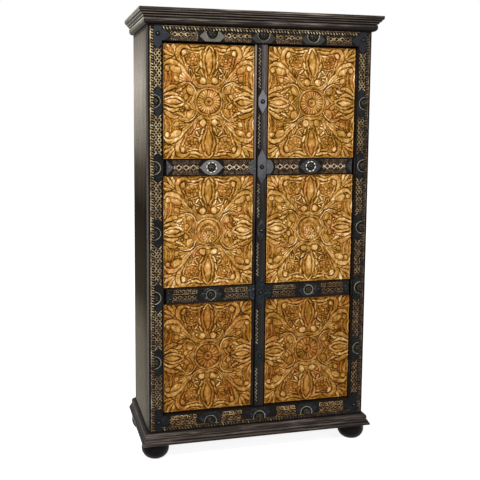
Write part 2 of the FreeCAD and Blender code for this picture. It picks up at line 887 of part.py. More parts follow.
def carved_panel(x0, x1, z0, z1):
    """A panel with its main carving: rosette, four buds, volutes, flowers and corner leaves."""
    middle_x = (x0 + x1) / 2
    middle_z = (z0 + z1) / 2
    half_x = (x1 - x0) / 2
    half_z = (z1 - z0) / 2
    pieces = [block(x0, x1, ground_y, board_front_y, z0, z1)]
    pieces.append(ring(centre_disc_radius, centre_rim_width, middle_x, middle_z, centre_disc_rise))
    pieces.append(disc(centre_button_radius, middle_x, middle_z, ground_depth))
    for side in (-1, 1):
        tall_z = middle_z + side * (half_z - bud_edge_margin - tall_bud_length / 2)
        pieces.append(almond(tall_bud_length, tall_bud_width, middle_x, tall_z, 0, ground_depth))
        side_x = middle_x + side * (half_x - bud_edge_margin - side_bud_length / 2)
        pieces.append(almond(side_bud_length, side_bud_width, side_x, middle_z, 90, ground_depth))
        for end in (-1, 1):
            upper_x = middle_x + side * half_x * upper_volute_x_share
            upper_z = middle_z + end * half_z * upper_volute_z_share
            pieces.append(ring(volute_radius, volute_width, upper_x, upper_z, carving_rise))
            pieces.append(disc(volute_ball_radius, upper_x, upper_z, ground_depth))
            wide_x = middle_x + side * half_x * side_volute_x_share
            wide_z = middle_z + end * half_z * side_volute_z_share
            pieces.append(ring(side_volute_radius, volute_width, wide_x, wide_z, carving_rise))
            flower_x = middle_x + side * half_x * flower_x_share
            flower_z = middle_z + end * half_z * flower_z_share
            pieces.append(disc(corner_flower_radius, flower_x, flower_z, carving_rise))
            leaf_x = middle_x + side * half_x * leaf_x_share
            leaf_z = middle_z + end * half_z * leaf_z_share
            turn = math.degrees(math.atan2(leaf_x - middle_x, leaf_z - middle_z))
            pieces.append(almond(corner_leaf_length, corner_leaf_width, leaf_x, leaf_z, turn, carving_rise))
            scroll_x = middle_x + side * half_x * scroll_x_share
            scroll_z = middle_z + end * half_z * scroll_z_share
            pieces.append(disc(scroll_ball_radius, scroll_x, scroll_z, ground_depth))
    return joined(pieces)


def lens_plate(centre_x, level):
    """The plate in the middle of a door rail: a long oval drawn out to a point at each end."""
    tip_x = lens_plate_half_width
    crown_z = lens_plate_half_height
    shoulder_x = tip_x * lens_shoulder_x_share
    shoulder_z = crown_z * lens_shoulder_z_share
    hollow_x = tip_x * lens_hollow_x_share
    hollow_z = crown_z * lens_hollow_z_share
    right = Vector(tip_x, 0, 0)
    left = Vector(-tip_x, 0, 0)
    edges = []
    for top in (1, -1):
        start = Vector(top * shoulder_x, 0, top * shoulder_z)
        end = Vector(-top * shoulder_x, 0, top * shoulder_z)
        near_tip, far_tip = (right, left) if top > 0 else (left, right)
        edges.append(Part.Arc(near_tip, Vector(top * hollow_x, 0, top * hollow_z), start).toShape())
        edges.append(Part.Arc(start, Vector(0, 0, top * crown_z), end).toShape())
        edges.append(Part.Arc(end, Vector(-top * hollow_x, 0, top * hollow_z), far_tip).toShape())
    plate = face_of(edges).extrude(Vector(0, -plate_thickness, 0))
    plate.translate(Vector(centre_x, rail_front_y, level))
    return plate


def door_rosette(centre_x, level):
    """The small medallion on a door rail's middle plate."""
    front = rail_front_y - plate_thickness
    return medallion(rosette_radius, rosette_boss_radius, centre_x, front, level)


def rail_end_plate(end_x, toward, level):
    """A pointed plate at the hinge end of a door rail. Toward is the direction of its point."""
    half = door_rail_height / 2 - plate_edge_gap
    start_x = end_x + toward * plate_edge_gap
    tip_x = start_x + toward * rail_end_plate_length
    corners = [(start_x, level - half), (tip_x, level), (start_x, level + half)]
    return plate_from(corners, rail_front_y - plate_thickness, plate_thickness)


def centre_lobe(start_x, toward, level):
    """The plate at the meeting end of a door rail: square at its foot and rounded in to a blunt point."""
    half = door_rail_height / 2 - plate_edge_gap
    shoulder = toward * centre_lobe_length * centre_lobe_shoulder_share
    curve_x = toward * centre_lobe_length * centre_lobe_curve_x_share
    curve_z = half * centre_lobe_curve_z_share
    tip = Vector(toward * centre_lobe_length, 0, 0)
    high = Vector(shoulder, 0, half)
    low = Vector(shoulder, 0, -half)
    foot_high = Vector(0, 0, half)
    foot_low = Vector(0, 0, -half)
    edges = [
        Part.makeLine(foot_low, low),
        Part.Arc(low, Vector(curve_x, 0, -curve_z), tip).toShape(),
        Part.Arc(tip, Vector(curve_x, 0, curve_z), high).toShape(),
        Part.makeLine(high, foot_high),
        Part.makeLine(foot_high, foot_low),
    ]
    plate = face_of(edges).extrude(Vector(0, -plate_thickness, 0))
    plate.translate(Vector(start_x, rail_front_y, level))
    return plate


def upright_plate(level, half_height):
    """A plate on the meeting stile, pointed at both ends."""
    shoulder = half_height - cross_plate_point
    corners = [
        (-cross_plate_half_width, level - shoulder),
        (0, level - half_height),
        (cross_plate_half_width, level - shoulder),
        (cross_plate_half_width, level + shoulder),
        (0, level + half_height),
        (-cross_plate_half_width, level + shoulder),
    ]
    return plate_from(corners, stile_front_y - plate_thickness, plate_thickness)


def make_left_door():
    board = mirrored(door_board(-left_meeting_x))
    save("left_door_board", board)
    for name, (low, high) in panel_levels().items():
        save("left_panel_" + name, carved_panel(-panel_outer_x, left_panel_inner_x, low, high))
    outer_x = -door_outer + left_rail_outer_inset
    inner_x = left_meeting_x - edge_strip_width
    plates = []
    rosettes = []
    for name, level in (("lower", lower_rail_level), ("upper", upper_rail_level)):
        save("left_rail_" + name, door_rail(outer_x, inner_x, level))
        middle_x = (outer_x + inner_x) / 2 + lens_offset
        plates.append(lens_plate(middle_x, level))
        plates.append(rail_end_plate(outer_x, 1, level))
        plates.append(centre_lobe(left_meeting_x, -1, level))
        rosettes.append(door_rosette(middle_x, level))
    save("left_door_plates", group(plates))
    save("left_door_rosettes", group(rosettes))
    strip = block(inner_x, left_meeting_x, strip_front_y, board_front_y, door_bottom, door_top)
    save("left_edge_strip", strip)


def meeting_stile():
    """The upright on the right door's meeting edge, with a half-round bead down its right half."""
    sunk_y = stile_front_y + bead_sink
    body = block(right_meeting_x, stile_half, sunk_y, board_front_y, door_bottom, door_top)
    flat = block(right_meeting_x, 0, stile_front_y, board_front_y, door_bottom, door_top)
    bead_x = stile_half - bead_side_margin - bead_radius
    bead_y = stile_front_y + bead_radius
    bead = rod(bead_radius, Vector(bead_x, bead_y, door_bottom), Vector(bead_x, bead_y, door_top))
    return joined([body, flat, bead])


def make_right_door():
    save("right_door_board", door_board(right_meeting_x))
    for name, (low, high) in panel_levels().items():
        save("right_panel_" + name, carved_panel(right_panel_inner_x, panel_outer_x, low, high))
    outer_x = door_outer - right_rail_outer_inset
    plates = []
    nails = []
    rosettes = []
    for name, level in (("lower", lower_rail_level), ("upper", upper_rail_level)):
        save("right_rail_" + name, door_rail(stile_half, outer_x, level))
        middle_x = (stile_half + outer_x) / 2 + lens_offset
        plates.append(lens_plate(middle_x, level))
        plates.append(rail_end_plate(outer_x, -1, level))
        plates.append(centre_lobe(stile_half, 1, level))
        plates.append(upright_plate(level, cross_plate_half_height))
        nails.append(dome(nail_radius, nail_height, 0, stile_front_y - plate_thickness, level))
        rosettes.append(door_rosette(middle_x, level))
    for share in long_plate_levels_share:
        plates.append(upright_plate(level_at(share), long_plate_half_height))
        nails.append(dome(nail_radius, nail_height, 0, stile_front_y - plate_thickness, level_at(share)))
    save("right_door_plates", group(plates))
    save("right_door_rosettes", group(rosettes))
    save("meeting_stile_nails", group(nails))
    save("meeting_stile", meeting_stile())


# Slide bolts of the left door, drawn for the top and turned over for the bottom

bolt_x = left_meeting_x - bolt_from_edge
bolt_y = post_back_y + bolt_plate_thickness + bolt_rod_standoff + bolt_rod_radius
bolt_rod_length = bolt_plate_height + bolt_rod_tail
guide_half = bolt_rod_radius + bolt_guide_side_wall
guide_back_y = bolt_y + bolt_rod_radius + bolt_guide_back_wall


def turned_over(shape):
    """The top bolt's piece turned over to the bottom of the door."""
    return shape.mirror(Vector(0, 0, (door_bottom + door_top) / 2), Vector(0, 0, 1))


def bolt_block(low, high):
    """The block round a bolt's rod, for a guide or a keeper."""
    return block(bolt_x - guide_half, bolt_x + guide_half, post_back_y, guide_back_y, low, high)


def bolt_plate():
    """A slide bolt's plate with a guide at each end."""
    top = door_top - bolt_plate_setback
    bottom = top - bolt_plate_height
    half = bolt_plate_width / 2
    plate_back_y = post_back_y + bolt_plate_thickness
    pieces = [block(bolt_x - half, bolt_x + half, post_back_y, plate_back_y, bottom, top)]
    for low in (bottom, top - bolt_guide_height):
        pieces.append(bolt_block(low, low + bolt_guide_height))
    bore_radius = bolt_rod_radius + bolt_clearance
    bore_top = Vector(bolt_x, bolt_y, top + overrun)
    return joined(pieces).cut(rod(bore_radius, Vector(bolt_x, bolt_y, bottom - overrun), bore_top))


def slide_bolt():
    """The rod of the top slide bolt with its finger knob, drawn back."""
    tip = door_top - bolt_tip_setback
    bar = rod(bolt_rod_radius, Vector(bolt_x, bolt_y, tip - bolt_rod_length), Vector(bolt_x, bolt_y, tip))
    knob_z = tip - bolt_rod_length / 2
    knob_end = Vector(bolt_x, bolt_y + bolt_rod_radius + bolt_knob_length, knob_z)
    knob = rod(bolt_knob_radius, Vector(bolt_x, bolt_y, knob_z), knob_end)
    return joined([bar, knob])


def make_bolts():
    plate = bolt_plate()
    save("bolt_plates", group([plate, turned_over(plate)]))
    bolt = slide_bolt()
    save("top_bolt", bolt)
    save("bottom_bolt", turned_over(bolt))
    low = opening_top + keeper_lift
    high = low + keeper_height
    hole_radius = bolt_rod_radius + keeper_clearance
    hole = rod(hole_radius, Vector(bolt_x, bolt_y, low - overrun), Vector(bolt_x, bolt_y, high + overrun))
    top_keeper = bolt_block(low, high).cut(hole)
    bottom_keeper = bolt_block(opening_bottom, opening_bottom + keeper_plate_thickness).cut(bolt_hole())
    save("bolt_keepers", group([top_keeper, bottom_keeper]))


def make_catch():
    """The magnet catch under the upper shelf, and its strike plate on the right door."""
    top = shelf_bottom(shelf_count - 1)
    magnet_front = post_back_y + strike_thickness + strike_gap
    magnet_x0 = catch_offset - catch_width / 2
    magnet_x1 = catch_offset + catch_width / 2
    magnet_back = magnet_front + catch_depth
    magnet = block(magnet_x0, magnet_x1, magnet_front, magnet_back, top - catch_height, top)
    save("catch_magnet", magnet)
    strike_x0 = catch_offset - strike_width / 2
    strike_x1 = catch_offset + strike_width / 2
    middle = top - catch_height / 2
    low = middle - strike_height / 2
    high = middle + strike_height / 2
    strike_back = post_back_y + strike_thickness
    save("catch_strike", block(strike_x0, strike_x1, post_back_y, strike_back, low, high))


os.makedirs("parts", exist_ok=True)
make_mouldings()
make_feet()
make_case()
make_shelves()
make_borders()
make_frame_plates()
make_frame_medallions()
make_corner_nails()
make_hinges()
make_left_door()
make_right_door()
make_bolts()
make_catch()
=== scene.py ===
import math

import bpy
import numpy as np
from mathutils import Matrix, Vector

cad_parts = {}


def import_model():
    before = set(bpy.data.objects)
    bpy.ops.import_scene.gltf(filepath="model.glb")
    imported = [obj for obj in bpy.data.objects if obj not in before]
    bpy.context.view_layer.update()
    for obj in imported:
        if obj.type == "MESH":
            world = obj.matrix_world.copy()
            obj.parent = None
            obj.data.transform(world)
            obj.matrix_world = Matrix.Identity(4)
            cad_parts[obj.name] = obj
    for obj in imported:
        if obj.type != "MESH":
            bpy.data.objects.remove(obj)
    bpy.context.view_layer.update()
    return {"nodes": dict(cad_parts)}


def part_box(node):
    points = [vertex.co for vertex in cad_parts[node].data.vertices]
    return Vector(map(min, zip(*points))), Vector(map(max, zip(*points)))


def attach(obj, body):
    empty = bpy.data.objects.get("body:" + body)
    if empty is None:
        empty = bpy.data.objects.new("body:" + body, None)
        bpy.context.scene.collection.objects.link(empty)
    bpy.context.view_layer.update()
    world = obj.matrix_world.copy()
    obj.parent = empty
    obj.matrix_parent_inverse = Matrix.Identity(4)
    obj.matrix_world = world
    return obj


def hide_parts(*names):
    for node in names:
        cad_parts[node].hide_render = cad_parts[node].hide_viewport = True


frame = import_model()

# Cupboard with two doors of carved panels. The front faces -Y, +Z is up, and lengths are in metres
# unless a name ends in mm.

MM = 0.001

# Planes that the dressed pieces lie on, read from the solids
post_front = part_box("left_post")[0].y
rail_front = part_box("left_rail_upper")[0].y
stile_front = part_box("meeting_stile")[0].y
plate_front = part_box("corner_plates")[0].y


def linear(code):
    """A colour from its written code, as the shader takes it."""
    parts = [int(code[i:i + 2], 16) / 255 for i in (1, 3, 5)]
    return tuple(p / 12.92 if p <= 0.04045 else ((p + 0.055) / 1.055) ** 2.4 for p in parts) + (1.0,)


def tinted(code, tint):
    """A written colour times a share of red, green and blue."""
    return tuple(a * b for a, b in zip(linear(code)[:3], tint)) + (1.0,)


def feed(socket, value):
    """Gives a node's input a value, a written colour or what another node puts out."""
    if isinstance(value, bpy.types.NodeSocket):
        socket.id_data.links.new(value, socket)
    elif isinstance(value, str):
        socket.default_value = linear(value)
    else:
        socket.default_value = value


def add_node(tree, kind, **inputs):
    """A shader node with some inputs filled. In their names _ stands for a space."""
    node = tree.nodes.new("ShaderNode" + kind)
    for name, value in inputs.items():
        feed(node.inputs[name.replace("_", " ")], value)
    return node


class Finish:
    """A material put together from noise, ramps and bumps in the object's own coordinates."""

    def __init__(self, name, roughness, metallic=0.0, specular=0.1):
        self.material = bpy.data.materials.new(name)
        self.material.use_nodes = True
        self.tree = self.material.node_tree
        self.inputs = self.tree.nodes["Principled BSDF"].inputs
        feed(self.inputs["Roughness"], roughness)
        feed(self.inputs["Metallic"], metallic)
        feed(self.inputs["Specular IOR Level"], specular)
        self.place = self.add("TexCoord").outputs["Object"]

    def add(self, kind, **inputs):
        return add_node(self.tree, kind, **inputs)

    def noise(self, scale, stretch=(1, 1, 1), detail=5.0):
        """Noise from 0 to 1, finer where the stretch is larger."""
        spot = self.add("Mapping", Scale=stretch, Vector=self.place).outputs["Vector"]
        return self.add("TexNoise", Scale=scale, Detail=detail, Roughness=0.6, Vector=spot).outputs["Fac"]

    def axis(self, letter):
        """The object's own X, Y or Z."""
        return self.add("SeparateXYZ", Vector=self.place).outputs[letter]

    def facing(self, letter):
        """How far the surface faces along an axis."""
        normal = self.add("NewGeometry").outputs["Normal"]
        return self.add("SeparateXYZ", Vector=normal).outputs[letter]

    def attribute(self, name):
        node = self.add("Attribute")
        node.attribute_name = name
        return node.outputs["Fac"]

    def ramp(self, source, stops):
        """Colours along a value. Stops are (place, colour)."""
        node = self.add("ValToRGB", Fac=source)
        elements = node.color_ramp.elements
        while len(elements) < len(stops):
            elements.new(0.5)
        for element, (place, colour) in zip(elements, stops):
            element.position = place
            element.color = linear(colour) if isinstance(colour, str) else colour
        return node.outputs["Color"]

    def grade(self, source, low, high, start=0.0, end=1.0):
        """A value moved from one range to another and kept inside it."""
        node = self.add("MapRange", Value=source, From_Min=low, From_Max=high, To_Min=start, To_Max=end)
        return node.outputs["Result"]

    def maths(self, kind, *values):
        node = self.add("Math")
        node.operation = kind
        for value, socket in zip(values, node.inputs):
            feed(socket, value)
        return node.outputs["Value"]

    def plus(self, first, second):
        return self.maths("ADD", first, second)

    def times(self, first, second):
        return self.maths("MULTIPLY", first, second)

    def size(self, value):
        """A value without its sign."""
        return self.maths("ABSOLUTE", value)

    def stirred(self, value, noise, reach, low=0.3):
        """A value that a noise moves up and down."""
        return self.plus(value, self.grade(noise, low, 1 - low, -reach, reach))

    def mix(self, share, first, second, kind="MIX"):
        node = self.add("Mix")
        node.data_type = "RGBA"
        node.blend_type = kind
        share_input, first_colour, second_colour = 0, 6, 7
        feed(node.inputs[share_input], share)
        feed(node.inputs[first_colour], first)
        feed(node.inputs[second_colour], second)
        return node.outputs[2]

    def colour(self, source):
        feed(self.inputs["Base Color"], source)

    def gloss(self, source, low, high):
        """Roughness that varies with a value."""
        feed(self.inputs["Roughness"], self.grade(source, 0.25, 0.75, low, high))

    def bump(self, source, depth, strength=1.0):
        """Dents and ridges, on top of those that are there."""
        normal = self.inputs["Normal"]
        below = {"Normal": normal.links[0].from_socket} if normal.is_linked else {}
        node = self.add("Bump", Distance=depth, Strength=strength, Height=source, **below)
        feed(normal, node.outputs["Normal"])


def painted_wood(name, colours, grain, roughness, wear=0.62, sides=None):
    """Worn paint over wood. Colours are its dark, plain and worn ones. Grain is the noise's stretch, small
    along the board. Sides is the colour of the faces that look left or right."""
    dark, base, worn = colours.split()
    finish = Finish(name, roughness, specular=0.04)
    streaks = finish.noise(9, grain, detail=8)
    fine = finish.noise(60, grain, detail=4)
    blotch = finish.noise(5, (1, 1, 1), detail=3)
    ground = finish.ramp(streaks, [(0.3, dark), (0.7, base)])
    ground = finish.mix(finish.grade(blotch, 0.4, 0.75, 0, 0.5), ground, base)
    chips = finish.grade(finish.times(streaks, fine), wear * 0.5, wear * 0.75)
    ground = finish.mix(chips, ground, worn)
    if sides:
        sideways = finish.grade(finish.size(finish.facing("X")), 0.6, 0.9)
        brown = finish.ramp(streaks, [(0.3, dark), (0.7, sides)])
        ground = finish.mix(sideways, ground, brown)
    finish.colour(ground)
    finish.gloss(fine, roughness - 0.1, roughness + 0.14)
    finish.bump(streaks, 0.5 * MM, 0.5)
    finish.bump(fine, 0.25 * MM, 0.6)
    return finish


# Stretch of the grain along an upright board and along a level one
upright_grain = (6, 6, 0.5)
level_grain = (0.5, 6, 6)

case_upright = painted_wood("case_paint_upright", "#0B0908 #1C1714 #443B32", upright_grain, 0.45,
                            sides="#2B231C")
case_level = painted_wood("case_paint_level", "#0B0908 #1D1815 #443B32", level_grain, 0.45)
inside_level = painted_wood("inside_boards_level", "#6E4A28 #8E6438 #A67C4C", level_grain, 0.62)


def stile_wood():
    """The meeting stile: black, with a painted highlight in grey on its bead and edge in the upper part."""
    finish = Finish("meeting_stile_paint", 0.45, specular=0.05)
    streaks = finish.noise(9, upright_grain, detail=8)
    fine = finish.noise(60, upright_grain, detail=4)
    ground = finish.ramp(streaks, [(0.3, "#0E0C0B"), (0.7, "#231F1C")])
    # Painted highlight: the bead turns grey towards the top.
    rise = finish.stirred(finish.axis("Z"), streaks, 0.25, 0.2)
    bead_left, bead_right = -6 * MM, -1 * MM
    bead = finish.grade(finish.axis("X"), bead_left, bead_right)
    rubbed = finish.times(finish.grade(rise, 1.1, 1.6, 0.1, 0.9), bead)
    rubbed = finish.times(rubbed, finish.grade(fine, 0.3, 0.6, 0.55, 1.0))
    finish.colour(finish.mix(rubbed, ground, "#5C5551"))
    finish.gloss(fine, 0.35, 0.6)
    finish.bump(streaks, 0.5 * MM, 0.5)
    finish.bump(fine, 0.25 * MM, 0.6)
    return finish


def edge_wood():
    """The left door's edge strip: its front carries a painted highlight, a pale pinkish grey, in the upper
    part.
    """
    finish = Finish("edge_strip_paint", 0.5, specular=0.03)
    streaks = finish.noise(9, upright_grain, detail=8)
    # Painted highlight: pinkish grey on the front face, towards the top.
    rise = finish.stirred(finish.axis("Z"), streaks, 0.15, 0.2)
    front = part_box("left_edge_strip")[0].y
    share = finish.times(finish.grade(rise, 0.9, 1.6, 0.0, 0.7),
                         finish.grade(finish.axis("Y"), front + 0.5 * MM, front + 2 * MM, 1.0, 0.1))
    ground = finish.ramp(streaks, [(0.3, "#14100E"), (0.7, "#2A231F")])
    finish.colour(finish.mix(share, ground, "#8A7B72"))
    finish.gloss(streaks, 0.4, 0.65)
    finish.bump(streaks, 0.4 * MM, 0.6)
    return finish


meeting_wood = stile_wood()
edge_strip_wood = edge_wood()
foot_finish = painted_wood("foot_paint", "#080706 #141110 #3A322C", (2, 2, 4), 0.36, wear=0.7)


def side_finish():
    """Satin grey-brown planks under a painted reflection: pale towards the top and towards the floor, dark
    in between, and darker towards the front.
    """
    finish = Finish("side_planks_painted_reflection", 0.5, specular=0.0)
    streaks = finish.noise(7, (4, 6, 0.35), detail=8)
    fine = finish.noise(45, (3, 6, 0.4), detail=5)
    # Painted reflection: pale near the floor and near the top, dark in the middle.
    rise = finish.stirred(finish.axis("Z"), streaks, 0.05, 0.2)
    tone_with_painted_light = finish.ramp(finish.grade(rise, 0.15, 1.75), [
        (0.0, "#8A8377"),
        (0.2, "#7C7465"),
        (0.32, "#443E34"),
        (0.55, "#2F2A22"),
        (0.66, "#5A5146"),
        (0.76, "#A39A8E"),
        (0.88, "#C9C0B4"),
        (1.0, "#8A8177"),
    ])
    marks = finish.ramp(fine, [(0.35, (0.5, 0.5, 0.5, 1)), (0.65, (1, 1, 1, 1))])
    tone_with_painted_light = finish.mix(0.75, tone_with_painted_light, marks, "MULTIPLY")
    # Painted reflection: darker towards the front, lighter towards the back.
    depth = finish.stirred(finish.axis("Y"), streaks, 0.08, 0.2)
    shade = finish.ramp(finish.grade(depth, -0.14, 0.22), [
        (0.0, (0.62, 0.6, 0.57, 1)),
        (0.3, (0.94, 0.93, 0.92, 1)),
        (1.0, (1.1, 1.1, 1.1, 1)),
    ])
    outside_painted_reflection = finish.mix(1.0, tone_with_painted_light, shade, "MULTIPLY")
    boards = finish.ramp(streaks, [(0.3, "#6E4A28"), (0.7, "#9A7042")])
    inner_face, outer_face = 455 * MM, 462 * MM
    outwards = finish.size(finish.axis("X"))
    finish.colour(finish.mix(finish.grade(outwards, inner_face, outer_face), boards, outside_painted_reflection))
    finish.gloss(streaks, 0.4, 0.6)
    finish.bump(fine, 0.3 * MM, 0.5)
    return finish


def moulding_finish(name, colours, hollows, along=(0.3, 1, 1), flat=None, reach=1.9, crest=0.5):
    """A moulding with painted shade, black in its hollows and where it faces down, and painted highlights
    where it faces out or up. Hollows are their heights, reach is how far their painted shade goes, crest is
    how pale the painted highlights on the ridges between them are, and flat is the height and the darkening
    by painted shade of its plain part. Painted shade makes it darker towards the right."""
    dark, base, worn = colours.split()
    finish = Finish(name, 0.42, specular=0.04)
    streaks = finish.noise(26, tuple(6 * v if v == 1 else v for v in along), detail=6)
    fine = finish.noise(120, tuple(4 * v if v == 1 else v for v in along), detail=4)
    wide = finish.noise(8, along, detail=3)
    upwards = finish.stirred(finish.facing("Z"), streaks, 0.14)
    # Painted shade: faces that look down are dark.
    out = finish.grade(upwards, -0.7, 0.05)
    ground = finish.mix(out, dark, base)
    # Painted highlight, broken by noise, where the moulding faces out or up.
    rubbed = finish.grade(finish.stirred(streaks, wide, 0.12), 0.5, 0.72, 0, 0.7)
    rubbed = finish.times(rubbed, finish.grade(upwards, -0.35, 0.15))
    paint = finish.mix(rubbed, ground, worn)
    # Painted shade in the hollows.
    for hollow in hollows:
        away = finish.size(finish.maths("SUBTRACT", finish.axis("Z"), hollow * MM))
        paint = finish.mix(finish.grade(away, 0.2 * reach * MM, reach * MM, 0.9, 0.0), paint, dark)
    # Painted highlights on the ridges between the hollows.
    for below, above in zip(hollows[:-1], hollows[1:]):
        away = finish.size(finish.maths("SUBTRACT", finish.axis("Z"), (below + above) / 2 * MM))
        pale = finish.times(finish.grade(away, 0.3 * MM, 1.6 * MM, crest, 0.0),
                            finish.grade(streaks, 0.35, 0.6, 0.2, 1.0))
        paint = finish.mix(pale, paint, worn)
    # Painted shade below the plain part's height.
    if flat:
        share = finish.grade(finish.axis("Z"), (flat[0] - 2) * MM, (flat[0] + 2) * MM, flat[1], 0.0)
        paint = finish.mix(share, paint, dark)
    # Painted shade: darker towards the right.
    paint = finish.mix(finish.grade(finish.axis("X"), 0.0, 0.5, 0.0, 0.4), paint, dark)
    finish.colour(finish.mix(finish.grade(finish.facing("Z"), 0.85, 0.97), paint, "#14110F"))
    finish.gloss(fine, 0.32, 0.55)
    finish.bump(streaks, 0.6 * MM, 0.6)
    finish.bump(fine, 0.3 * MM, 0.5)
    return finish


def carved_finish(name, tint):
    """Gilded carving: pale on the crests from painted highlights, brown in the cuts from the stain and from
    painted shade, with dust and rubbed gold.
    """
    finish = Finish(name, 0.42, specular=0.06)
    patch = finish.noise(13, detail=4)
    mottle = finish.noise(34, detail=3)
    grain = finish.noise(85, (1, 1, 0.6), detail=6)
    value = finish.stirred(finish.attribute("tone_with_painted_light"), grain, 0.26, 0.25)
    value = finish.stirred(value, mottle, 0.2)
    stops = [(0.03, "#4E2E04"), (0.2, "#86560F"), (0.4, "#AE7C32"), (0.58, "#C69652"), (0.76, "#E4BE82"),
             (0.94, "#FFF0D0")]
    gold = finish.ramp(value, [(place, tinted(code, tint)) for place, code in stops])
    reddish = finish.mix(1.0, gold, "#E6B4A0", "MULTIPLY")
    dusty = finish.mix(1.0, gold, "#DDE2C0", "MULTIPLY")
    red_share = finish.plus(finish.grade(patch, 0.5, 0.68, 0, 0.6),
                            finish.grade(finish.attribute("warm"), 0, 1, 0, 0.3))
    gold = finish.mix(red_share, gold, reddish)
    gold = finish.mix(finish.grade(mottle, 0.5, 0.36, 0, 0.7), gold, dusty)
    finish.colour(gold)
    finish.gloss(grain, 0.28, 0.6)
    finish.bump(grain, 1.0 * MM, 0.7)
    return finish


def metal_finish(name, colours, roughness=0.4, metallic=0.1, painted_sheen=None, rise=(0.75, 1.15),
                 across=((0.04, 1.0), (0.12, 0.0))):
    """Painted or bare sheet metal with scuffs. Its sheen colour, a painted reflection, shows above the two
    heights in rise, and across has places from left to right with how much of it they show."""
    dark, base, light = colours.split()
    finish = Finish(name, roughness, metallic=metallic, specular=0.06)
    cloud = finish.noise(16, detail=5)
    scuff = finish.noise(90, (1, 1, 3), detail=5)
    ground = finish.ramp(cloud, [(0.3, dark), (0.62, base)])
    # Painted sheen: a paler colour higher up, more of it on one side.
    if painted_sheen:
        high = finish.stirred(finish.axis("Z"), cloud, 0.1)
        stops = [(x + 0.5, (share, share, share, 1)) for x, share in across]
        shown = finish.ramp(finish.plus(finish.axis("X"), 0.5), stops)
        share = finish.times(finish.grade(high, rise[0], rise[1], 0, 0.85), shown)
        ground = finish.mix(share, ground, painted_sheen)
    finish.colour(finish.mix(finish.grade(scuff, 0.56, 0.75, 0, 0.8), ground, light))
    finish.gloss(scuff, roughness - 0.12, roughness + 0.15)
    finish.bump(scuff, 0.15 * MM, 0.7)
    finish.bump(cloud, 0.5 * MM, 0.5)
    return finish


def stencil_finish(name, brown, pale):
    """Old gold paint, rubbed at random, with painted light: pale high up on the left, and brown from painted
    shade towards the floor and the right. Each is three colours, from rubbed through to fresh."""
    finish = Finish(name, 0.55, metallic=0.1, specular=0.06)
    rub = finish.noise(75, detail=6)
    patch = finish.noise(9, detail=3)
    # Painted light: paler higher up and to the left, painted shade lower down and to the right.
    rise = finish.grade(finish.axis("Z"), 0.3, 1.7, 0.0, 0.7)
    left = finish.grade(finish.axis("X"), 0.5, -0.5, -0.15, 0.25)
    share = finish.plus(finish.plus(rise, left), finish.grade(patch, 0.3, 0.7, -0.3, 0.3))
    places = (0.34, 0.48, 0.64)
    low = finish.ramp(rub, list(zip(places, brown.split())))
    high = finish.ramp(rub, list(zip(places, pale.split())))
    finish.colour(finish.mix(finish.grade(share, 0.1, 0.9), low, high))
    finish.gloss(rub, 0.42, 0.7)
    finish.bump(rub, 0.15 * MM, 0.6)
    return finish


side_planks_painted_reflection = side_finish()
crown_hollows = (1783, 1794.5, 1804, 1812, 1820)
base_hollows = (78, 88, 99.5, 106)
crown_front_finish = moulding_finish("crown_paint", "#120E0C #352E2A #A89A8C", crown_hollows,
                                     flat=(1796, 0.3), crest=0.55)
# A paler copy of the crown's paint for its left and right returns: painted sheen.
crown_side_painted_sheen_finish = moulding_finish("crown_side_painted_sheen", "#0F0D09 #8E8972 #F4EEDA", crown_hollows,
                                    (1, 0.3, 1), reach=2.8, crest=0.8)
base_finish = moulding_finish("base_paint", "#110D0C #2F2926 #7E7268", base_hollows, crest=0.4)
# A darker copy of the base's paint for its left and right returns: painted shade.
base_side_painted_shade_finish = moulding_finish("base_side_painted_shade", "#0B0806 #1A130E #3C2E20", base_hollows, (1, 0.3, 1))
gold_carving = carved_finish("gilded_carving", (0.8, 0.77, 0.68))
# A darker, warmer copy of the gilding for the lower row of panels: the darkening is painted shade.
painted_shade_carving = carved_finish("gilded_carving_painted_shade", (0.58, 0.49, 0.32))
# These plates carry a painted sheen, a paler colour on their upper parts.
plate_finish = metal_finish("dark_plates", "#0B0C0D #16181A #3A3E42", 0.42, painted_sheen="#303238",
                            rise=(1.2, 1.8), across=((0.04, 1.0), (0.12, 0.4)))
rail_plate_finish = metal_finish("rail_plates", "#0E0F10 #1B1D1F #565A60", 0.42, painted_sheen="#66625C",
                                 rise=(0.8, 1.4), across=((-0.15, 1.0), (-0.05, 0.2)))
left_plate_finish = metal_finish("slate_plates_painted_sheen", "#121516 #1C2022 #8C8986", 0.42, painted_sheen="#6A6765",
                                 across=((-0.39, 0.3), (-0.35, 1.0), (-0.1, 1.0), (-0.06, 0.35)))
right_plate_finish = metal_finish("dark_slate_plates", "#101314 #1A1E20 #6A6C6E", 0.42, painted_sheen="#7C7C80",
                                  rise=(0.95, 1.6), across=((0.04, 1.0), (0.12, 0.25)))
black_plate = metal_finish("black_plates", "#0C0A09 #1A1614 #3A342E", 0.45)
boss_finish = metal_finish("black_boss", "#070606 #110E0C #5A4A38")
pale_paint = stencil_finish("pale_gold_paint", "#241A12 #84644A #BE9E7C", "#5E4A38 #BCA684 #E6DCC2")
tan_paint = stencil_finish("tan_gold_paint", "#18100A #5C452F #937550", "#36281A #94805C #D0C098")
shaded_paint = stencil_finish("shaded_gold_paint", "#120D09 #3E3022 #6A5640", "#1E170F #5A4A36 #8E7A5C")
dim_paint = stencil_finish("dim_gold_paint", "#160F0C #463428 #765C48", "#1E1610 #5E4A38 #98805F")
olive_paint = stencil_finish("olive_gold_paint", "#15100A #544628 #8E7C4E", "#2A2214 #84744A #C8BA88")
umber_paint = stencil_finish("umber_gold_paint", "#2A1C10 #8C7048 #CDAE7A", "#2A2214 #94805A #D8CCA4")
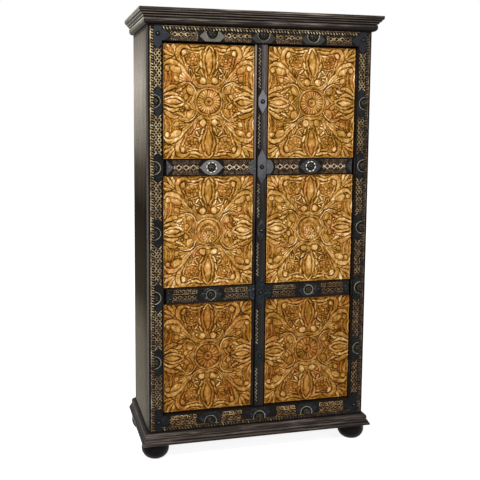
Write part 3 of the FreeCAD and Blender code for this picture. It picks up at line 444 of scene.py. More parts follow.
russet_paint = stencil_finish("russet_gold_paint", "#24170E #785638 #B08658", "#241A12 #745A40 #AC8C66")
ash_paint = stencil_finish("ash_grey_paint", "#2A2822 #757062 #B0A994", "#1E1A18 #62564E #988A7E")
ring_finish = metal_finish("ring_gold", "#2E2A22 #847E6C #E4E0D0")
# The door rings carry a painted sheen higher up.
door_ring_finish = metal_finish("door_ring_gold", "#2E2A22 #847E6C #E4E0D0", painted_sheen="#F0ECE0",
                                rise=(0.9, 1.2), across=((0.0, 0.8), (0.1, 1.0)))
petal_finish = metal_finish("boss_petals", "#12100D #464136 #A8A28C")
dot_and_glint_finish = metal_finish("grey_dots_and_painted_glints", "#3A3A36 #77756C #C9C6BB")
iron_finish = metal_finish("black_iron", "#1B1918 #2A2725 #4B4642", 0.5, metallic=0.7)
steel_finish = metal_finish("dull_steel", "#6A6863 #85827B #A9A69E", metallic=0.9)

# Finishes of the solids that are shown as they are
node_finishes = (
    (inside_level, ("back_panel", "floor_board", "shelf_lower", "shelf_middle", "shelf_upper",
                    "shelf_cleats")),
    (case_upright, ("left_post", "right_post", "left_door_board", "right_door_board")),
    (meeting_wood, ("meeting_stile",)),
    (edge_strip_wood, ("left_edge_strip",)),
    (case_level, ("base_board", "top_board", "top_rail", "bottom_rail", "left_rail_lower", "left_rail_upper",
                  "right_rail_lower", "right_rail_upper")),
    (side_planks_painted_reflection, ("left_side", "right_side")),
    (crown_front_finish, ("crown_front",)),
    (crown_side_painted_sheen_finish, ("crown_left", "crown_right")),
    (base_finish, ("base_front",)),
    (base_side_painted_shade_finish, ("base_left", "base_right")),
    (foot_finish, ("front_feet", "back_feet")),
    (plate_finish, ("corner_plates", "post_plates")),
    (rail_plate_finish, ("rail_plates",)),
    (left_plate_finish, ("left_door_plates",)),
    (right_plate_finish, ("right_door_plates",)),
    (iron_finish, ("hinge_post_leaves", "hinge_pins", "hinge_post_screws", "left_hinge_leaves",
                   "right_hinge_leaves", "left_hinge_screws", "right_hinge_screws", "catch_magnet")),
    (steel_finish, ("bolt_keepers", "catch_strike", "bolt_plates", "top_bolt", "bottom_bolt")),
)
for finish, nodes in node_finishes:
    for node in nodes:
        mesh = frame["nodes"][node].data
        mesh.materials.clear()
        mesh.materials.append(finish.material)


def placed(name, data):
    """An object in the scene."""
    made = bpy.data.objects.new(name, data)
    bpy.context.scene.collection.objects.link(made)
    return made


def piece(name, points, faces, finishes, body, kinds=None, smooth=False):
    """A mesh that rides on a body. Kinds gives each face's finish by its place in the list."""
    mesh = bpy.data.meshes.new(name)
    mesh.from_pydata([tuple(p) for p in points], [], [tuple(f) for f in faces])
    for finish in finishes:
        mesh.materials.append(finish.material)
    if kinds is not None:
        mesh.polygons.foreach_set("material_index", np.array(kinds, dtype=np.int32))
    mesh.polygons.foreach_set("use_smooth", [smooth] * len(mesh.polygons))
    mesh.update()
    made = placed(name, mesh)
    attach(made, body)
    return made


# Carving. Its lengths are in millimetres.

panel_wide, panel_high = 375, 454
carving_deep = 9
carving_seed = 5
quarter_step = 1.25
quarter_margin = 4
quarter_wide, quarter_high = 196, 236
centre_reach = 62
plain_edge = 4.5
grid_mm = 1.6


def smooth_line(points, steps):
    """Points along a smooth curve through given ones."""
    given = np.array(points, float)
    given = np.vstack([2 * given[0] - given[1], given, 2 * given[-1] - given[-2]])
    line = []
    for a, b, c, d in zip(given[:-3], given[1:-2], given[2:-1], given[3:]):
        for t in np.linspace(0, 1, steps, endpoint=False):
            line.append(0.5 * (2 * b + (c - a) * t + (2 * a - 5 * b + 4 * c - d) * t ** 2
                               + (3 * b - a - 3 * c + d) * t ** 3))
    line.append(given[-2])
    return line


class Relief:
    """A carved height map, from 0 in the cuts to 1 at the crests."""

    def __init__(self, across, up, height):
        self.x = across
        self.z = up
        self.height = height
        self.near = np.full(across.shape, -1e6)
        self.shade = np.zeros(across.shape)
        self.warm = np.zeros(across.shape)
        self.chance = np.random.default_rng(carving_seed)

    def lay(self, inside, level, gap=3.0):
        """Lays a shape over the carving, with a cut round it. Inside is the depth within its outline."""
        shallow = 0.22 if gap < 4 else 0.0
        cut = self.height * np.clip(-inside / gap, shallow, 1) ** 0.8
        level = level * self.chance.uniform(0.92, 1.06)
        self.height = np.where(inside >= 0, level, np.minimum(self.height, cut))
        self.shade = np.where(inside >= 0, self.chance.uniform(-1, 1), self.shade)
        self.warm = np.where(inside >= 0, 0, self.warm)
        self.near = np.maximum(self.near, inside)

    def away(self, x, z):
        """How far everything is from a place."""
        return np.hypot(self.x - x, self.z - z)

    def rounded(self, share, level, edge=0.3):
        """The height of a rounded shape. Share is 0 at its outline and 1 in its middle."""
        return level * (edge + (1 - edge) * np.sqrt(1 - (1 - np.clip(share, 0, 1)) ** 2))

    def stroke(self, points, widths, level=0.8, crease=0.0, veins=0.0, gap=3.0):
        """A tapered stroke, such as a leaf's finger or a scroll. Widths are half widths, veins is the
        depth of the slanted gouges that make its edges wavy, and gap is the width of the cut round it."""
        inside = np.full(self.x.shape, -1e6)
        half = np.ones(self.x.shape)
        along = np.zeros(self.x.shape)
        travelled = 0.0
        previous = None
        for x, z, width in smooth_line([(x, z, w) for (x, z), w in zip(points, widths)], 8):
            if previous:
                travelled += math.dist(previous, (x, z))
            previous = (x, z)
            depth = width - self.away(x, z)
            nearer = depth > inside
            half = np.where(nearer, width, half)
            along = np.where(nearer, travelled, along)
            inside = np.where(nearer, depth, inside)
        off = half - inside
        gouge = (0.5 + 0.5 * np.cos(2 * math.pi * (along + 0.9 * off) / 14.0)) * np.clip(off / half, 0, 1)
        inside = inside - 4.0 * veins * gouge
        share = np.clip(inside / half, 0, 1)
        ribs = np.where(half > 6.5, 0.5 - 0.5 * np.cos(2 * math.pi * off / 5.2), 0)
        groove = crease * np.clip((share - 0.6) / 0.4, 0, 1) + veins * gouge + 0.16 * ribs
        self.lay(inside, self.rounded(share, level) - groove, gap)

    def cut(self, points, width):
        """A deep cut along a line, widest in the middle. Width is the half width."""
        route = smooth_line(points, 10)
        for n, (x, z) in enumerate(route):
            size = width * (0.35 + 0.65 * math.sin(math.pi * (n + 0.5) / len(route)))
            share = np.clip(self.away(x, z) / size, 0, 1)
            self.height = np.minimum(self.height, share ** 2 + 0.02)

    def ball(self, x, z, radius, level=0.95):
        inside = radius - self.away(x, z)
        self.lay(inside, self.rounded(inside / radius, level))

    def almond(self, x, z, length, width, turn=0.0, level=0.9, crease=0.0):
        """A pointed oval. Length and width are halves, and it stands upright when turn is 0 degrees."""
        sine, cosine = math.sin(math.radians(turn)), math.cos(math.radians(turn))
        along = (self.x - x) * sine + (self.z - z) * cosine
        across = (self.x - x) * cosine - (self.z - z) * sine
        radius = (length ** 2 + width ** 2) / (2 * width)
        inside = radius - np.hypot(np.abs(across) + radius - width, along)
        self.lay(inside, self.rounded(inside / width, level) - crease * np.exp(-(across / 1.7) ** 2))

    def flower(self, x, z, radius, petals, level, button, hollow=0.0):
        """An open flower seen from the front, with a button in it."""
        distance = self.away(x, z)
        wave = np.abs(np.cos(petals * np.arctan2(self.z - z, self.x - x) / 2)) ** 0.6
        share = np.clip((distance / radius - button) / (1 - button), 0, 1)
        petal = level * (0.5 + 0.5 * np.sin(math.pi * (0.15 + 0.75 * share))) * (0.3 + 0.7 * wave)
        self.lay(radius * (0.9 + 0.1 * wave) - distance, petal)
        self.ball(x, z, radius * button, level * 0.8)
        self.height = np.where(distance < radius * hollow, self.height * 0.3, self.height)
        self.warm = np.where(distance < radius, 1, self.warm)

    def rose(self, x, z, radius, level):
        """A double rose: a ring of broad petals, a ring of small ones over it, and a button."""
        for share, petals, turn, lift in ((1.0, 8, 0.0, 0.85), (0.6, 5, 0.4, 1.0)):
            size = radius * share
            distance = self.away(x, z)
            wave = np.abs(np.cos(petals * (np.arctan2(self.z - z, self.x - x) + turn) / 2)) ** 0.7
            petal = np.sin(math.pi * np.clip(distance / size, 0.0, 1.0) ** 1.6 * 0.85)
            height = level * lift * (0.25 + 0.75 * petal * (0.1 + 0.9 * wave))
            self.lay(size * (0.78 + 0.22 * wave) - distance, height)
        self.ball(x, z, radius * 0.24, level * 1.15)
        self.warm = np.where(self.away(x, z) < radius, 0.5, self.warm)

    def echo(self, pitch, low, high):
        """Fills the ground with narrow ridges that run round the shapes."""
        away = -self.near
        bent = np.sin(self.x / 3.1 + 2 * np.sin(self.z / 5.3))
        broken = 0.55 + 0.45 * bent * np.sin(self.z / 2.7 + self.x / 9)
        ridge = low + (high - low) * broken * np.abs(np.sin(math.pi * (away - 2.4) / pitch))
        self.height = np.where(away > 2.4, np.maximum(self.height * 0.4, ridge), self.height)


def panel_quarter():
    """The carving of a panel's upper right quarter, from its middle outwards, in millimetres."""
    across, up = np.meshgrid(np.arange(-quarter_margin, quarter_wide, quarter_step),
                             np.arange(-quarter_margin, quarter_high, quarter_step), indexing="ij")
    relief = Relief(across, up, np.full(across.shape, 0.1))
    stroke, cut, ball, almond = relief.stroke, relief.cut, relief.ball, relief.almond
    # Corner leaves
    corner_leaves = (((148, 226), (138, 192)), ((168, 222), (144, 184)), ((185, 202), (148, 180)),
                     ((187, 180), (156, 172)))
    for tip, root in corner_leaves:
        between = ((tip[0] + root[0]) / 2, (tip[1] + root[1]) / 2)
        stroke([root, between, tip], (4, 8, 5), 0.9, 0.12, 0.12, 2.2)
    # Waves along the top and the side
    stroke([(24, 213), (50, 206), (84, 209), (112, 224)], (4, 6, 6, 4), 0.74, 0.1, 0.1)
    stroke([(30, 227), (62, 218), (98, 227)], (4, 5, 4), 0.6)
    stroke([(32, 197), (56, 191), (86, 200)], (3, 4, 3), 0.64)
    stroke([(188, 160), (182, 130), (176, 100), (180, 68), (190, 48)], (4, 7, 7, 6, 4), 0.5, 0.1, 0.14)
    stroke([(189, 116), (186, 90), (189, 62)], (3, 4.5, 3), 0.84)
    stroke([(160, 118), (156, 92), (160, 72), (172, 58)], (4, 6, 6, 4), 0.56, 0.1, 0.14)
    stroke([(146, 108), (148, 90), (142, 74)], (2, 3.5, 2.5), 0.4)
    # Wings beside the side bud
    stroke([(128, 60), (146, 59), (166, 50), (188, 36)], (4, 9, 9, 4), 0.84, 0.12, 0.14, 4.5)
    stroke([(120, 20), (136, 30), (158, 34), (186, 22)], (4, 7.5, 7, 4), 0.8, 0.12, 0.12, 4.5)
    # Feather between the scroll and the flower
    stroke([(97, 146), (93, 118), (78, 94), (60, 76)], (3.5, 5, 5, 4), 0.56)
    stroke([(60, 112), (70, 136), (90, 138), (88, 112)], (2.5, 3, 3, 2.5), 0.6)
    stroke([(66, 100), (74, 122), (82, 124), (79, 102)], (2, 2.5, 2.5, 2), 0.58)
    # Wide lobe that curls over the upper ball
    stroke([(80, 208), (98, 217), (116, 213), (127, 198), (128, 180), (122, 162), (113, 144), (102, 120)],
           (5, 8, 10, 10, 10, 10, 9, 5), 0.8, 0.1, 0.1, 5.5)
    stroke([(99, 150), (104, 163), (106, 174)], (2.5, 4, 3), 0.6)
    cut([(96, 202), (112, 204), (119, 194), (116, 178)], 2.6)
    almond(105, 192, 13.5, 9.5, -20, 0.9)
    # Hood that curls over the outer ball, with a leaf in it
    stroke([(184, 138), (180, 150), (164, 157), (143, 153), (123, 139), (104, 118), (84, 97), (66, 80)],
           (4, 7, 9, 11, 11, 9, 7, 5), 0.86, 0.1, 0.08, 8.0)
    cut([(124, 172), (146, 171), (166, 167), (182, 156), (190, 142)], 4.0)
    cut([(112, 118), (126, 137), (144, 146), (164, 147)], 2.4)
    almond(135, 126, 24, 14, 62, 0.78, 0.1)
    cut([(120, 128), (134, 138), (150, 136)], 1.5)
    ball(170, 132, 10.5, 0.92)
    # Fan of fingers on the diagonal, and the round leaf beyond it
    for tip, level in (((122, 81), 0.6), ((118, 91), 0.72), ((115, 101), 0.76), ((107, 109), 0.74)):
        stroke([(76, 83), ((76 + tip[0]) / 2, (83 + tip[1]) / 2), tip], (2.5, 5, 4), level, gap=1.6)
    almond(133, 90, 13, 9.5, 50, 0.62)
    # Flower and the leaves beside the tall bud
    relief.rose(70, 166, 27, 0.6)
    stroke([(30, 204), (36, 190), (34, 172)], (3, 5.5, 3), 0.62)
    stroke([(30, 136), (35, 148), (37, 160)], (4, 6, 3), 0.8, 0.1)
    stroke([(42, 142), (56, 137), (76, 135)], (2, 3, 2.5), 0.6)
    stroke([(43, 133), (48, 126), (54, 119)], (3, 5, 3.5), 0.82)
    stroke([(21, 103), (27, 114), (33, 126)], (3.5, 5, 3.5), 0.82)
    stroke([(40, 104), (50, 107), (58, 112)], (2.5, 3.5, 2.5), 0.66)
    stroke([(42, 96), (50, 92), (56, 84)], (2.5, 4, 2.5), 0.68)
    stroke([(8, 98), (12, 110), (14, 122)], (3, 4, 2.5), 0.42)
    # Scroll round the inner ball
    stroke([(62, 104), (60, 88), (50, 72), (34, 63), (16, 61), (2, 66)],
           (4, 6.5, 7.5, 8, 7.5, 6), 0.62, 0.1, 0.06, 4.5)
    cut([(10, 98), (24, 103), (38, 97), (44, 84)], 3.0)
    stroke([(67, 100), (65, 84), (54, 68), (37, 57), (17, 55), (3, 60)],
           (1.2, 2, 2.4, 2.4, 2.2, 1.5), 0.74, gap=2.2)
    ball(24, 84, 13.5, 0.88)
    # Scroll of the side lobe with the oval bud and the balls in it
    stroke([(122, 66), (102, 70), (82, 67), (66, 57), (57, 42), (58, 24), (66, 10), (76, -3)],
           (4, 7, 7.5, 7.5, 7.5, 7, 6, 5), 0.6, 0.1, 0.06, 7.0)
    cut([(124, 74), (100, 80), (80, 77), (62, 67), (50, 52), (46, 36), (51, 18), (60, 2)], 6.0)
    stroke([(120, 70), (101, 76), (81, 73), (65, 63), (55, 48), (51, 33), (57, 15), (67, 0)],
           (1.0, 1.8, 2.4, 2.4, 2.4, 2.4, 2.2, 1.5), 0.72, gap=2.2)
    almond(76, 47, 20, 13.5, 28, 0.74)
    cut([(84, 60), (72, 52), (67, 40), (70, 30)], 1.5)
    stroke([(98, 62), (106, 54), (112, 48)], (3, 4.5, 3), 0.56)
    stroke([(110, 52), (118, 46), (130, 42)], (4, 6.5, 4), 0.7, 0.08)
    stroke([(70, 24), (78, 12), (88, 2)], (3, 5, 3.5), 0.56)
    almond(90, 20, 13, 9, -20, 0.72)
    ball(107, 33, 5.5, 0.7)
    ball(114, 24, 5.5, 0.72)
    ball(104, 8, 6, 0.6)
    # Buds
    almond(0, 165, 60, 28, 0, 0.42)
    for side in (-1, 1):
        stroke([(8 * side, 112), (21 * side, 140), (22 * side, 176), (6 * side, 214)], (3.5, 5, 5, 3.5),
               0.62, 0.1)
    stroke([(-3, 225), (8, 216), (17, 202)], (4, 4.5, 3), 0.74)
    almond(0, 163, 54, 15, 0, 0.84)
    cut([(-2.0, 196), (-2.0, 162), (-2.0, 134)], 1.6)
    almond(147, 0, 44, 24, 90, 0.42)
    for side in (-1, 1):
        stroke([(104, 4 * side), (124, 16 * side), (150, 18 * side), (184, 6 * side)], (4, 5.5, 5.5, 3),
               0.74, 0.1, gap=4.0)
    almond(149, 0, 34, 11.5, 90, 0.8)
    relief.echo(8.5, 0.22, 0.55)
    return relief


def sample(values, across, up):
    """Values of the quarter at folded places."""
    first = (np.abs(across) + quarter_margin) / quarter_step
    second = (np.abs(up) + quarter_margin) / quarter_step
    i = np.clip(first.astype(int), 0, values.shape[0] - 2)
    k = np.clip(second.astype(int), 0, values.shape[1] - 2)
    s = np.clip(first - i, 0, 1)
    t = np.clip(second - k, 0, 1)
    low = values[i, k] * (1 - s) + values[i + 1, k] * s
    high = values[i, k + 1] * (1 - s) + values[i + 1, k + 1] * s
    return low * (1 - t) + high * t


def softened(height, rounds):
    """The heights blurred a little, as many times over as rounds says."""
    blurred = height
    for _ in range(rounds):
        edged = np.pad(blurred, 1, mode="edge")
        sides = edged[:-2, 1:-1] + edged[2:, 1:-1] + edged[1:-1, :-2] + edged[1:-1, 2:]
        blurred = (sides + 4 * blurred) / 8
    return blurred


def carve_centre(relief, row):
    """The round piece in a panel's middle, in its ring."""
    distance = np.hypot(relief.x, relief.z)
    around = np.arctan2(relief.z, relief.x)
    relief.lay(57 - 3 * np.cos(4 * around) - distance, 0.52, 5.0)
    relief.lay(50 - distance, 0.2)
    if row == "middle":
        relief.lay(48 - distance, 0.5, 4.0)
        relief.stroke([(-37, -22), (-38, 10), (-20, 33), (0, 40), (20, 33), (38, 10), (37, -22)],
                      (3, 6, 7, 7, 7, 6, 3), 0.72, 0.1, 0.1)
        relief.stroke([(-22, -12), (-20, 6), (0, 20), (20, 6), (22, -12)], (3, 5, 7, 5, 3), 0.78, 0.1, 0.1)
        relief.cut([(-29, -20), (-28, 6), (0, 12), (28, 6), (29, -20)], 2.4)
        relief.flower(0, -21, 25, 11, 0.9, 0.2)
    else:
        relief.flower(0, 0, 47, 24 if row == "upper" else 17, 0.85, 0.37, 0.14)


quarter = panel_quarter()


def carved_panel(node, body, row, seed, finish):
    """One door panel: its carved front, and the edges and back of its board."""
    low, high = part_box(node)
    ground = low.y + carving_deep * MM
    middle_x = (low.x + high.x) / 2
    middle_z = (low.z + high.z) / 2
    count_x = int((high.x - low.x) / (grid_mm * MM))
    count_z = int((high.z - low.z) / (grid_mm * MM))
    x, z = np.meshgrid(np.linspace(low.x, high.x, count_x), np.linspace(low.z, high.z, count_z),
                       indexing="ij")
    across = (x - middle_x) / (high.x - low.x) * panel_wide
    up = (z - middle_z) / (high.z - low.z) * panel_high
    a, b, c, d, e, f = np.random.default_rng(seed).uniform(0, 2 * math.pi, 6)
    wander_x = 2.4 * np.sin(up / 43 + a) * np.cos(across / 61 + b) + 1.2 * np.sin(up / 11 + across / 17 + c)
    wander_z = 2.4 * np.sin(across / 39 + d) * np.cos(up / 57 + e) + 1.2 * np.sin(across / 13 - up / 15 + f)
    wander_x += 0.8 * np.sin(up / 3.7 + 2 * np.sin(across / 9 + d))
    wander_z += 0.8 * np.sin(across / 3.9 + 2 * np.sin(up / 8 + a))
    height, shade, warm = [sample(values, across + wander_x, up + wander_z)
                           for values in (quarter.height, quarter.shade, quarter.warm)]
    centre = Relief(across + wander_x * 0.5, up + wander_z * 0.5, height.copy())
    carve_centre(centre, row)
    middle = np.hypot(across, up) < centre_reach
    height = np.where(middle, centre.height, height)
    redness = 0.9 if row == "lower" else 0.25
    warm = np.where(middle, centre.warm * redness, warm)
    edge = np.minimum(panel_wide / 2 - np.abs(across), panel_high / 2 - np.abs(up))
    height = np.where(edge < plain_edge, np.maximum(height, 0.5), height)
    height = np.clip(height, 0, 1)
    y = ground - height * (ground - low.y)
    near = softened(height, 3)
    wide = softened(near, 24)
    # Painted light: darker in the cuts, partly stain and partly painted shade, with painted highlights on
    # edges.
    lit = height * 0.5 + (height - near) * 1.15 + (height - wide) * 0.5
    tone_with_painted_light = np.clip(0.19 + lit + (shade - warm) * 0.08, 0, 1)
    front = np.stack([x, y, z], axis=-1).reshape(-1, 3)
    index = np.arange(count_x * count_z).reshape(count_x, count_z)
    corners = [index[:-1, :-1], index[1:, :-1], index[1:, 1:], index[:-1, 1:]]
    rim = np.concatenate([index[:, 0], index[-1, 1:], index[-2::-1, -1], index[0, -2:0:-1]])
    back = front[rim].copy()
    back[:, 1] = high.y
    start = len(front)
    points = np.vstack([front, back])
    faces = np.stack(corners, axis=-1).reshape(-1, 4).tolist()
    total = len(rim)
    for n in range(total):
        m = (n + 1) % total
        faces.append([rim[n], start + n, start + m, rim[m]])
    faces.append(list(range(start, start + total))[::-1])
    made = piece(node + "_carving", points.tolist(), faces, [finish], body, smooth=True)
    for label, values in (("tone_with_painted_light", tone_with_painted_light), ("warm", warm)):
        layer = made.data.attributes.new(label, "FLOAT", "POINT")
        every = np.concatenate([values.reshape(-1), np.full(total, 0.2)])
        layer.data.foreach_set("value", every.astype(np.float32))
    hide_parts(node)


rows = (("upper", gold_carving), ("middle", gold_carving), ("lower", painted_shade_carving))
for number, (row, finish) in enumerate(rows):
    carved_panel("left_panel_" + row, "left_door", row, number * 2 + 3, finish)
    carved_panel("right_panel_" + row, "right_door", row, number * 2 + 4, finish)


# Thin raised ornament


class Inlay:
    """Flat shapes raised a little from an upright face. Places are (x, z) in millimetres."""

    def __init__(self, plane, rise=0.5):
        self.back = plane
        self.front = plane - rise * MM
        self.points = []
        self.faces = []

    def shape(self, corners):
        """A convex plate with its corners in order."""
        first = len(self.points)
        count = len(corners)
        turn = sum(a[0] * b[1] - b[0] * a[1] for a, b in zip(corners, corners[1:] + corners[:1]))
        ordered = corners if turn > 0 else corners[::-1]
        for y in (self.front, self.back):
            self.points += [(x * MM, y, z * MM) for x, z in ordered]
        self.faces.append([first + n for n in range(count)])
        self.faces.append([first + count + n for n in range(count)][::-1])
        for n in range(count):
            m = (n + 1) % count
            self.faces.append([first + n, first + count + n, first + count + m, first + m])

    def line(self, start, end, width):
        """A straight stroke."""
        dx, dz = end[0] - start[0], end[1] - start[1]
        size = math.hypot(dx, dz)
        sx, sz = -dz / size * width / 2, dx / size * width / 2
        self.shape([(start[0] + sx, start[1] + sz), (start[0] - sx, start[1] - sz),
                    (end[0] - sx, end[1] - sz), (end[0] + sx, end[1] + sz)])

    def path(self, points, width):
        for a, b in zip(points[:-1], points[1:]):
            self.line(a, b, width)

    def crossing(self, x, z, half, width):
        self.line((x - half, z - half), (x + half, z + half), width)
        self.line((x - half, z + half), (x + half, z - half), width)

    def diamond(self, x, z, half_x, half_z, width):
        """An open diamond."""
        corners = [(x - half_x, z), (x, z + half_z), (x + half_x, z), (x, z - half_z)]
        self.path(corners + corners[:1], width)

    def make(self, name, finish, body):
        piece(name, self.points, self.faces, [finish], body)


def chain(pale, dim, start, end, level, count, half_z=11.0, width=3.4):
    """Open pale diamonds in a row with a cross between each two, and dim wedges above and below."""
    step = (end - start) / count
    cross_half, cross_width = 5.2, 2.6
    wedge_half, wedge_tip, wedge_base = 5, 6.5, 11.5
    for n in range(count):
        pale.diamond(start + (n + 0.5) * step, level, abs(step) * 0.37, half_z, width)
    for n in range(count + 1):
        x = start + n * step
        pale.crossing(x, level, cross_half, cross_width)
        for rise in (-1, 1):
            base = level + rise * wedge_base
            dim.shape([(x - wedge_half, base), (x + wedge_half, base), (x, level + rise * wedge_tip)])


def hatched(inlay, start, end, level, half=3.4, pitch=9.0, width=1.9):
    """A row of small crosses."""
    count = int(abs(end - start) / pitch)
    for n in range(count + 1):
        inlay.crossing(start + (end - start) * n / count, level, half, width)


def dotted(inlay, start, end, level, pitch, half):
    """A row of small diamonds."""
    count = int(abs(end - start) / pitch)
    for n in range(count + 1):
        x = start + (end - start) * n / count
        inlay.shape([(x - half, level), (x, level + half), (x + half, level), (x, level - half)])


def steps_between(start, end, pitch):
    """How many steps of about a pitch fit between two places, and the step."""
    count = max(1, int(round(abs(end - start) / pitch)))
    return count, (end - start) / count


def small_chain(inlay, start, end, level, half_z):
    """A row of open diamonds over a thin line."""
    count, step = steps_between(start, end, pitch=20.0)
    for n in range(count):
        inlay.diamond(start + (n + 0.5) * step, level, abs(step) / 2, half_z, width=2.0)
    below = level - half_z - 3
    inlay.line((start, below), (end, below), width=1.4)


def meander(inlay, start, end, low, high):
    """A square running meander between two places."""
    count, step = steps_between(start, end, pitch=17.0)
    width = 2.4
    middle = (low + high) / 2
    for n in range(count):
        x = start + n * step
        far = x + step * 0.7
        inlay.path([(x, low), (x, high), (far, high), (far, middle), (x + step * 0.35, middle)], width)
        inlay.line((x, low), (x + step, low), width)


def zigzag(inlay, x0, x1, z0, z1):
    """Slanted strokes that turn at each side of an upright band."""
    count, step = steps_between(z0, z1, pitch=7.5)
    for n in range(count):
        start, end = (x0, x1) if n % 2 else (x1, x0)
        inlay.line((start, z0 + n * step), (end, z0 + (n + 1) * step), width=2.2)


def lattice(inlay, x0, x1, z0, z1):
    """Crossing slanted strokes in two columns that fill an upright band."""
    x0, x1 = min(x0, x1), max(x0, x1)
    count, step = steps_between(z0, z1, pitch=19.0)
    columns, width = 2, 2.6
    wide = (x1 - x0) / columns
    for n in range(count):
        z = z0 + n * step
        for k in range(columns):
            x = x0 + k * wide
            inlay.line((x, z), (x + wide, z + step), width)
            inlay.line((x + wide, z), (x, z + step), width)


def box_mm(node):
    low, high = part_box(node)
    return low / MM, high / MM


# Ornament of the case's frame

top_middles = (327.0, 108.0)
top_half = 50
top_chain_z, top_cross_z, top_dot_z = 1733.0, 1718.0, 1711.5
top_pale, top_dim = Inlay(post_front), Inlay(post_front)
for side in (-1, 1):
    for middle in top_middles:
        start, end = side * middle - top_half, side * middle + top_half
        chain(top_pale, top_dim, start, end, top_chain_z, count=4, half_z=8.5, width=2.6)
        hatched(top_dim, start - 2, end + 2, top_cross_z)
        dotted(top_dim, start, end, top_dot_z, pitch=7.0, half=2.4)
top_pale.make("top_rail_diamonds", tan_paint, "case")
top_dim.make("top_rail_dots", dim_paint, "case")

bottom_spans = ((275.0, 385.0), (80.0, 165.0))
bottom_meander, bottom_chain_z, bottom_dot_z = (168.0, 182.0), 156.0, 144.5
bottom_paint, bottom_dim = Inlay(post_front), Inlay(post_front)
for side in (-1, 1):
    for inner, outer in bottom_spans:
        start, end = side * inner, side * outer
        meander(bottom_paint, start, end, *bottom_meander)
        small_chain(bottom_dim, start, end, bottom_chain_z, half_z=6.5)
        dotted(bottom_dim, start, end, bottom_dot_z, pitch=7.0, half=2.2)
bottom_paint.make("bottom_rail_meander", umber_paint, "case")
bottom_dim.make("bottom_rail_diamonds", russet_paint, "case")

strip_low, strip_high = box_mm("border_strips")
strip_gap = 2
border_width = 17.5
border_inner = strip_high.x - border_width
crown_bottom = box_mm("crown_front")[0].z
base_top = box_mm("base_front")[1].z
post_shares = (0.179, 0.342, 0.5015, 0.661, 0.82)
post_levels = [base_top + (crown_bottom - base_top) * share for share in post_shares]
post_stops = [205.0] + post_levels + [1690.0]
half_plate = 52.0
end_gap = 12.0
post_paint_inner = 419.5
posts = Inlay(post_front)
for number, (below, above) in enumerate(zip(post_stops[:-1], post_stops[1:])):
    z0 = below + (half_plate if number else end_gap)
    z1 = above - (half_plate if number < len(post_levels) else end_gap)
    for side in (-1, 1):
        lattice(posts, side * post_paint_inner, side * (border_inner - 1), z0, z1)
posts.make("post_ornament", tan_paint, "case")


# Border strips: a dark strip with slanted gold ticks and a light line


def border():
    strip_thick, paint_thick = 1.0, 0.9
    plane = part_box("border_strips")[1].y
    top = plane - strip_thick * MM
    base = Inlay(plane, strip_thick)
    lines, ticks, dull = Inlay(top, paint_thick), Inlay(top, paint_thick), Inlay(top, paint_thick)
    chance = np.random.default_rng(11)
    outer = strip_high.x
    end_x = 417.0
    level_ticks, upright_ticks = 66, 150
    # Painted shade: ticks on the right upright and on the lower strip's right part take the shaded paint.
    dull_from = 120
    for side in (-1, 1):
        x0, x1 = side * border_inner, side * outer
        base.shape([(x0, strip_low.z), (x1, strip_low.z), (x1, strip_high.z), (x0, strip_high.z)])
    for z0 in (strip_low.z + strip_gap, strip_high.z - strip_gap - border_width):
        z1 = z0 + border_width
        base.shape([(-end_x, z0), (end_x, z0), (end_x, z1), (-end_x, z1)])
        target = ticks if z0 > strip_low.z + strip_gap else lines
        target.line((-end_x, z1 - 2), (end_x, z1 - 2), 2.0)
        for n in range(level_ticks):
            x = -end_x + 6 + (2 * end_x - 12) * n / level_ticks
            foot = chance.uniform(1.5, 4.5)
            head = chance.uniform(10.0, 12.5)
            width = chance.uniform(2.0, 4.2)
            drawn = dull if target is lines and x > dull_from else target
            drawn.line((x + 6, z0 + foot), (x, z0 + head), width)
    for side, target in ((-1, ticks), (1, dull)):
        x = side * (outer - 3.5)
        target.line((x, strip_low.z + 6), (x, strip_high.z - 6), 3.2)
        for n in range(upright_ticks):
            z = strip_low.z + 8 + (strip_high.z - strip_low.z - 20) * n / upright_ticks
            start, end = (side * (border_inner + 2), z), (side * (outer - 5), z + 4)
            target.line(start, end, chance.uniform(2.2, 3.8))
    points, faces, kinds = [], [], []
    for kind, drawn in enumerate((base, ticks, lines, dull)):
        first = len(points)
        faces += [[i + first for i in face] for face in drawn.faces]
        kinds += [kind] * len(drawn.faces)
        points += drawn.points
    finishes = [black_plate, tan_paint, olive_paint, shaded_paint]
    made = piece("border_ornament", points, faces, finishes, "case", kinds)
    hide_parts("border_strips")


border()


# Medallions, rosettes and nail heads


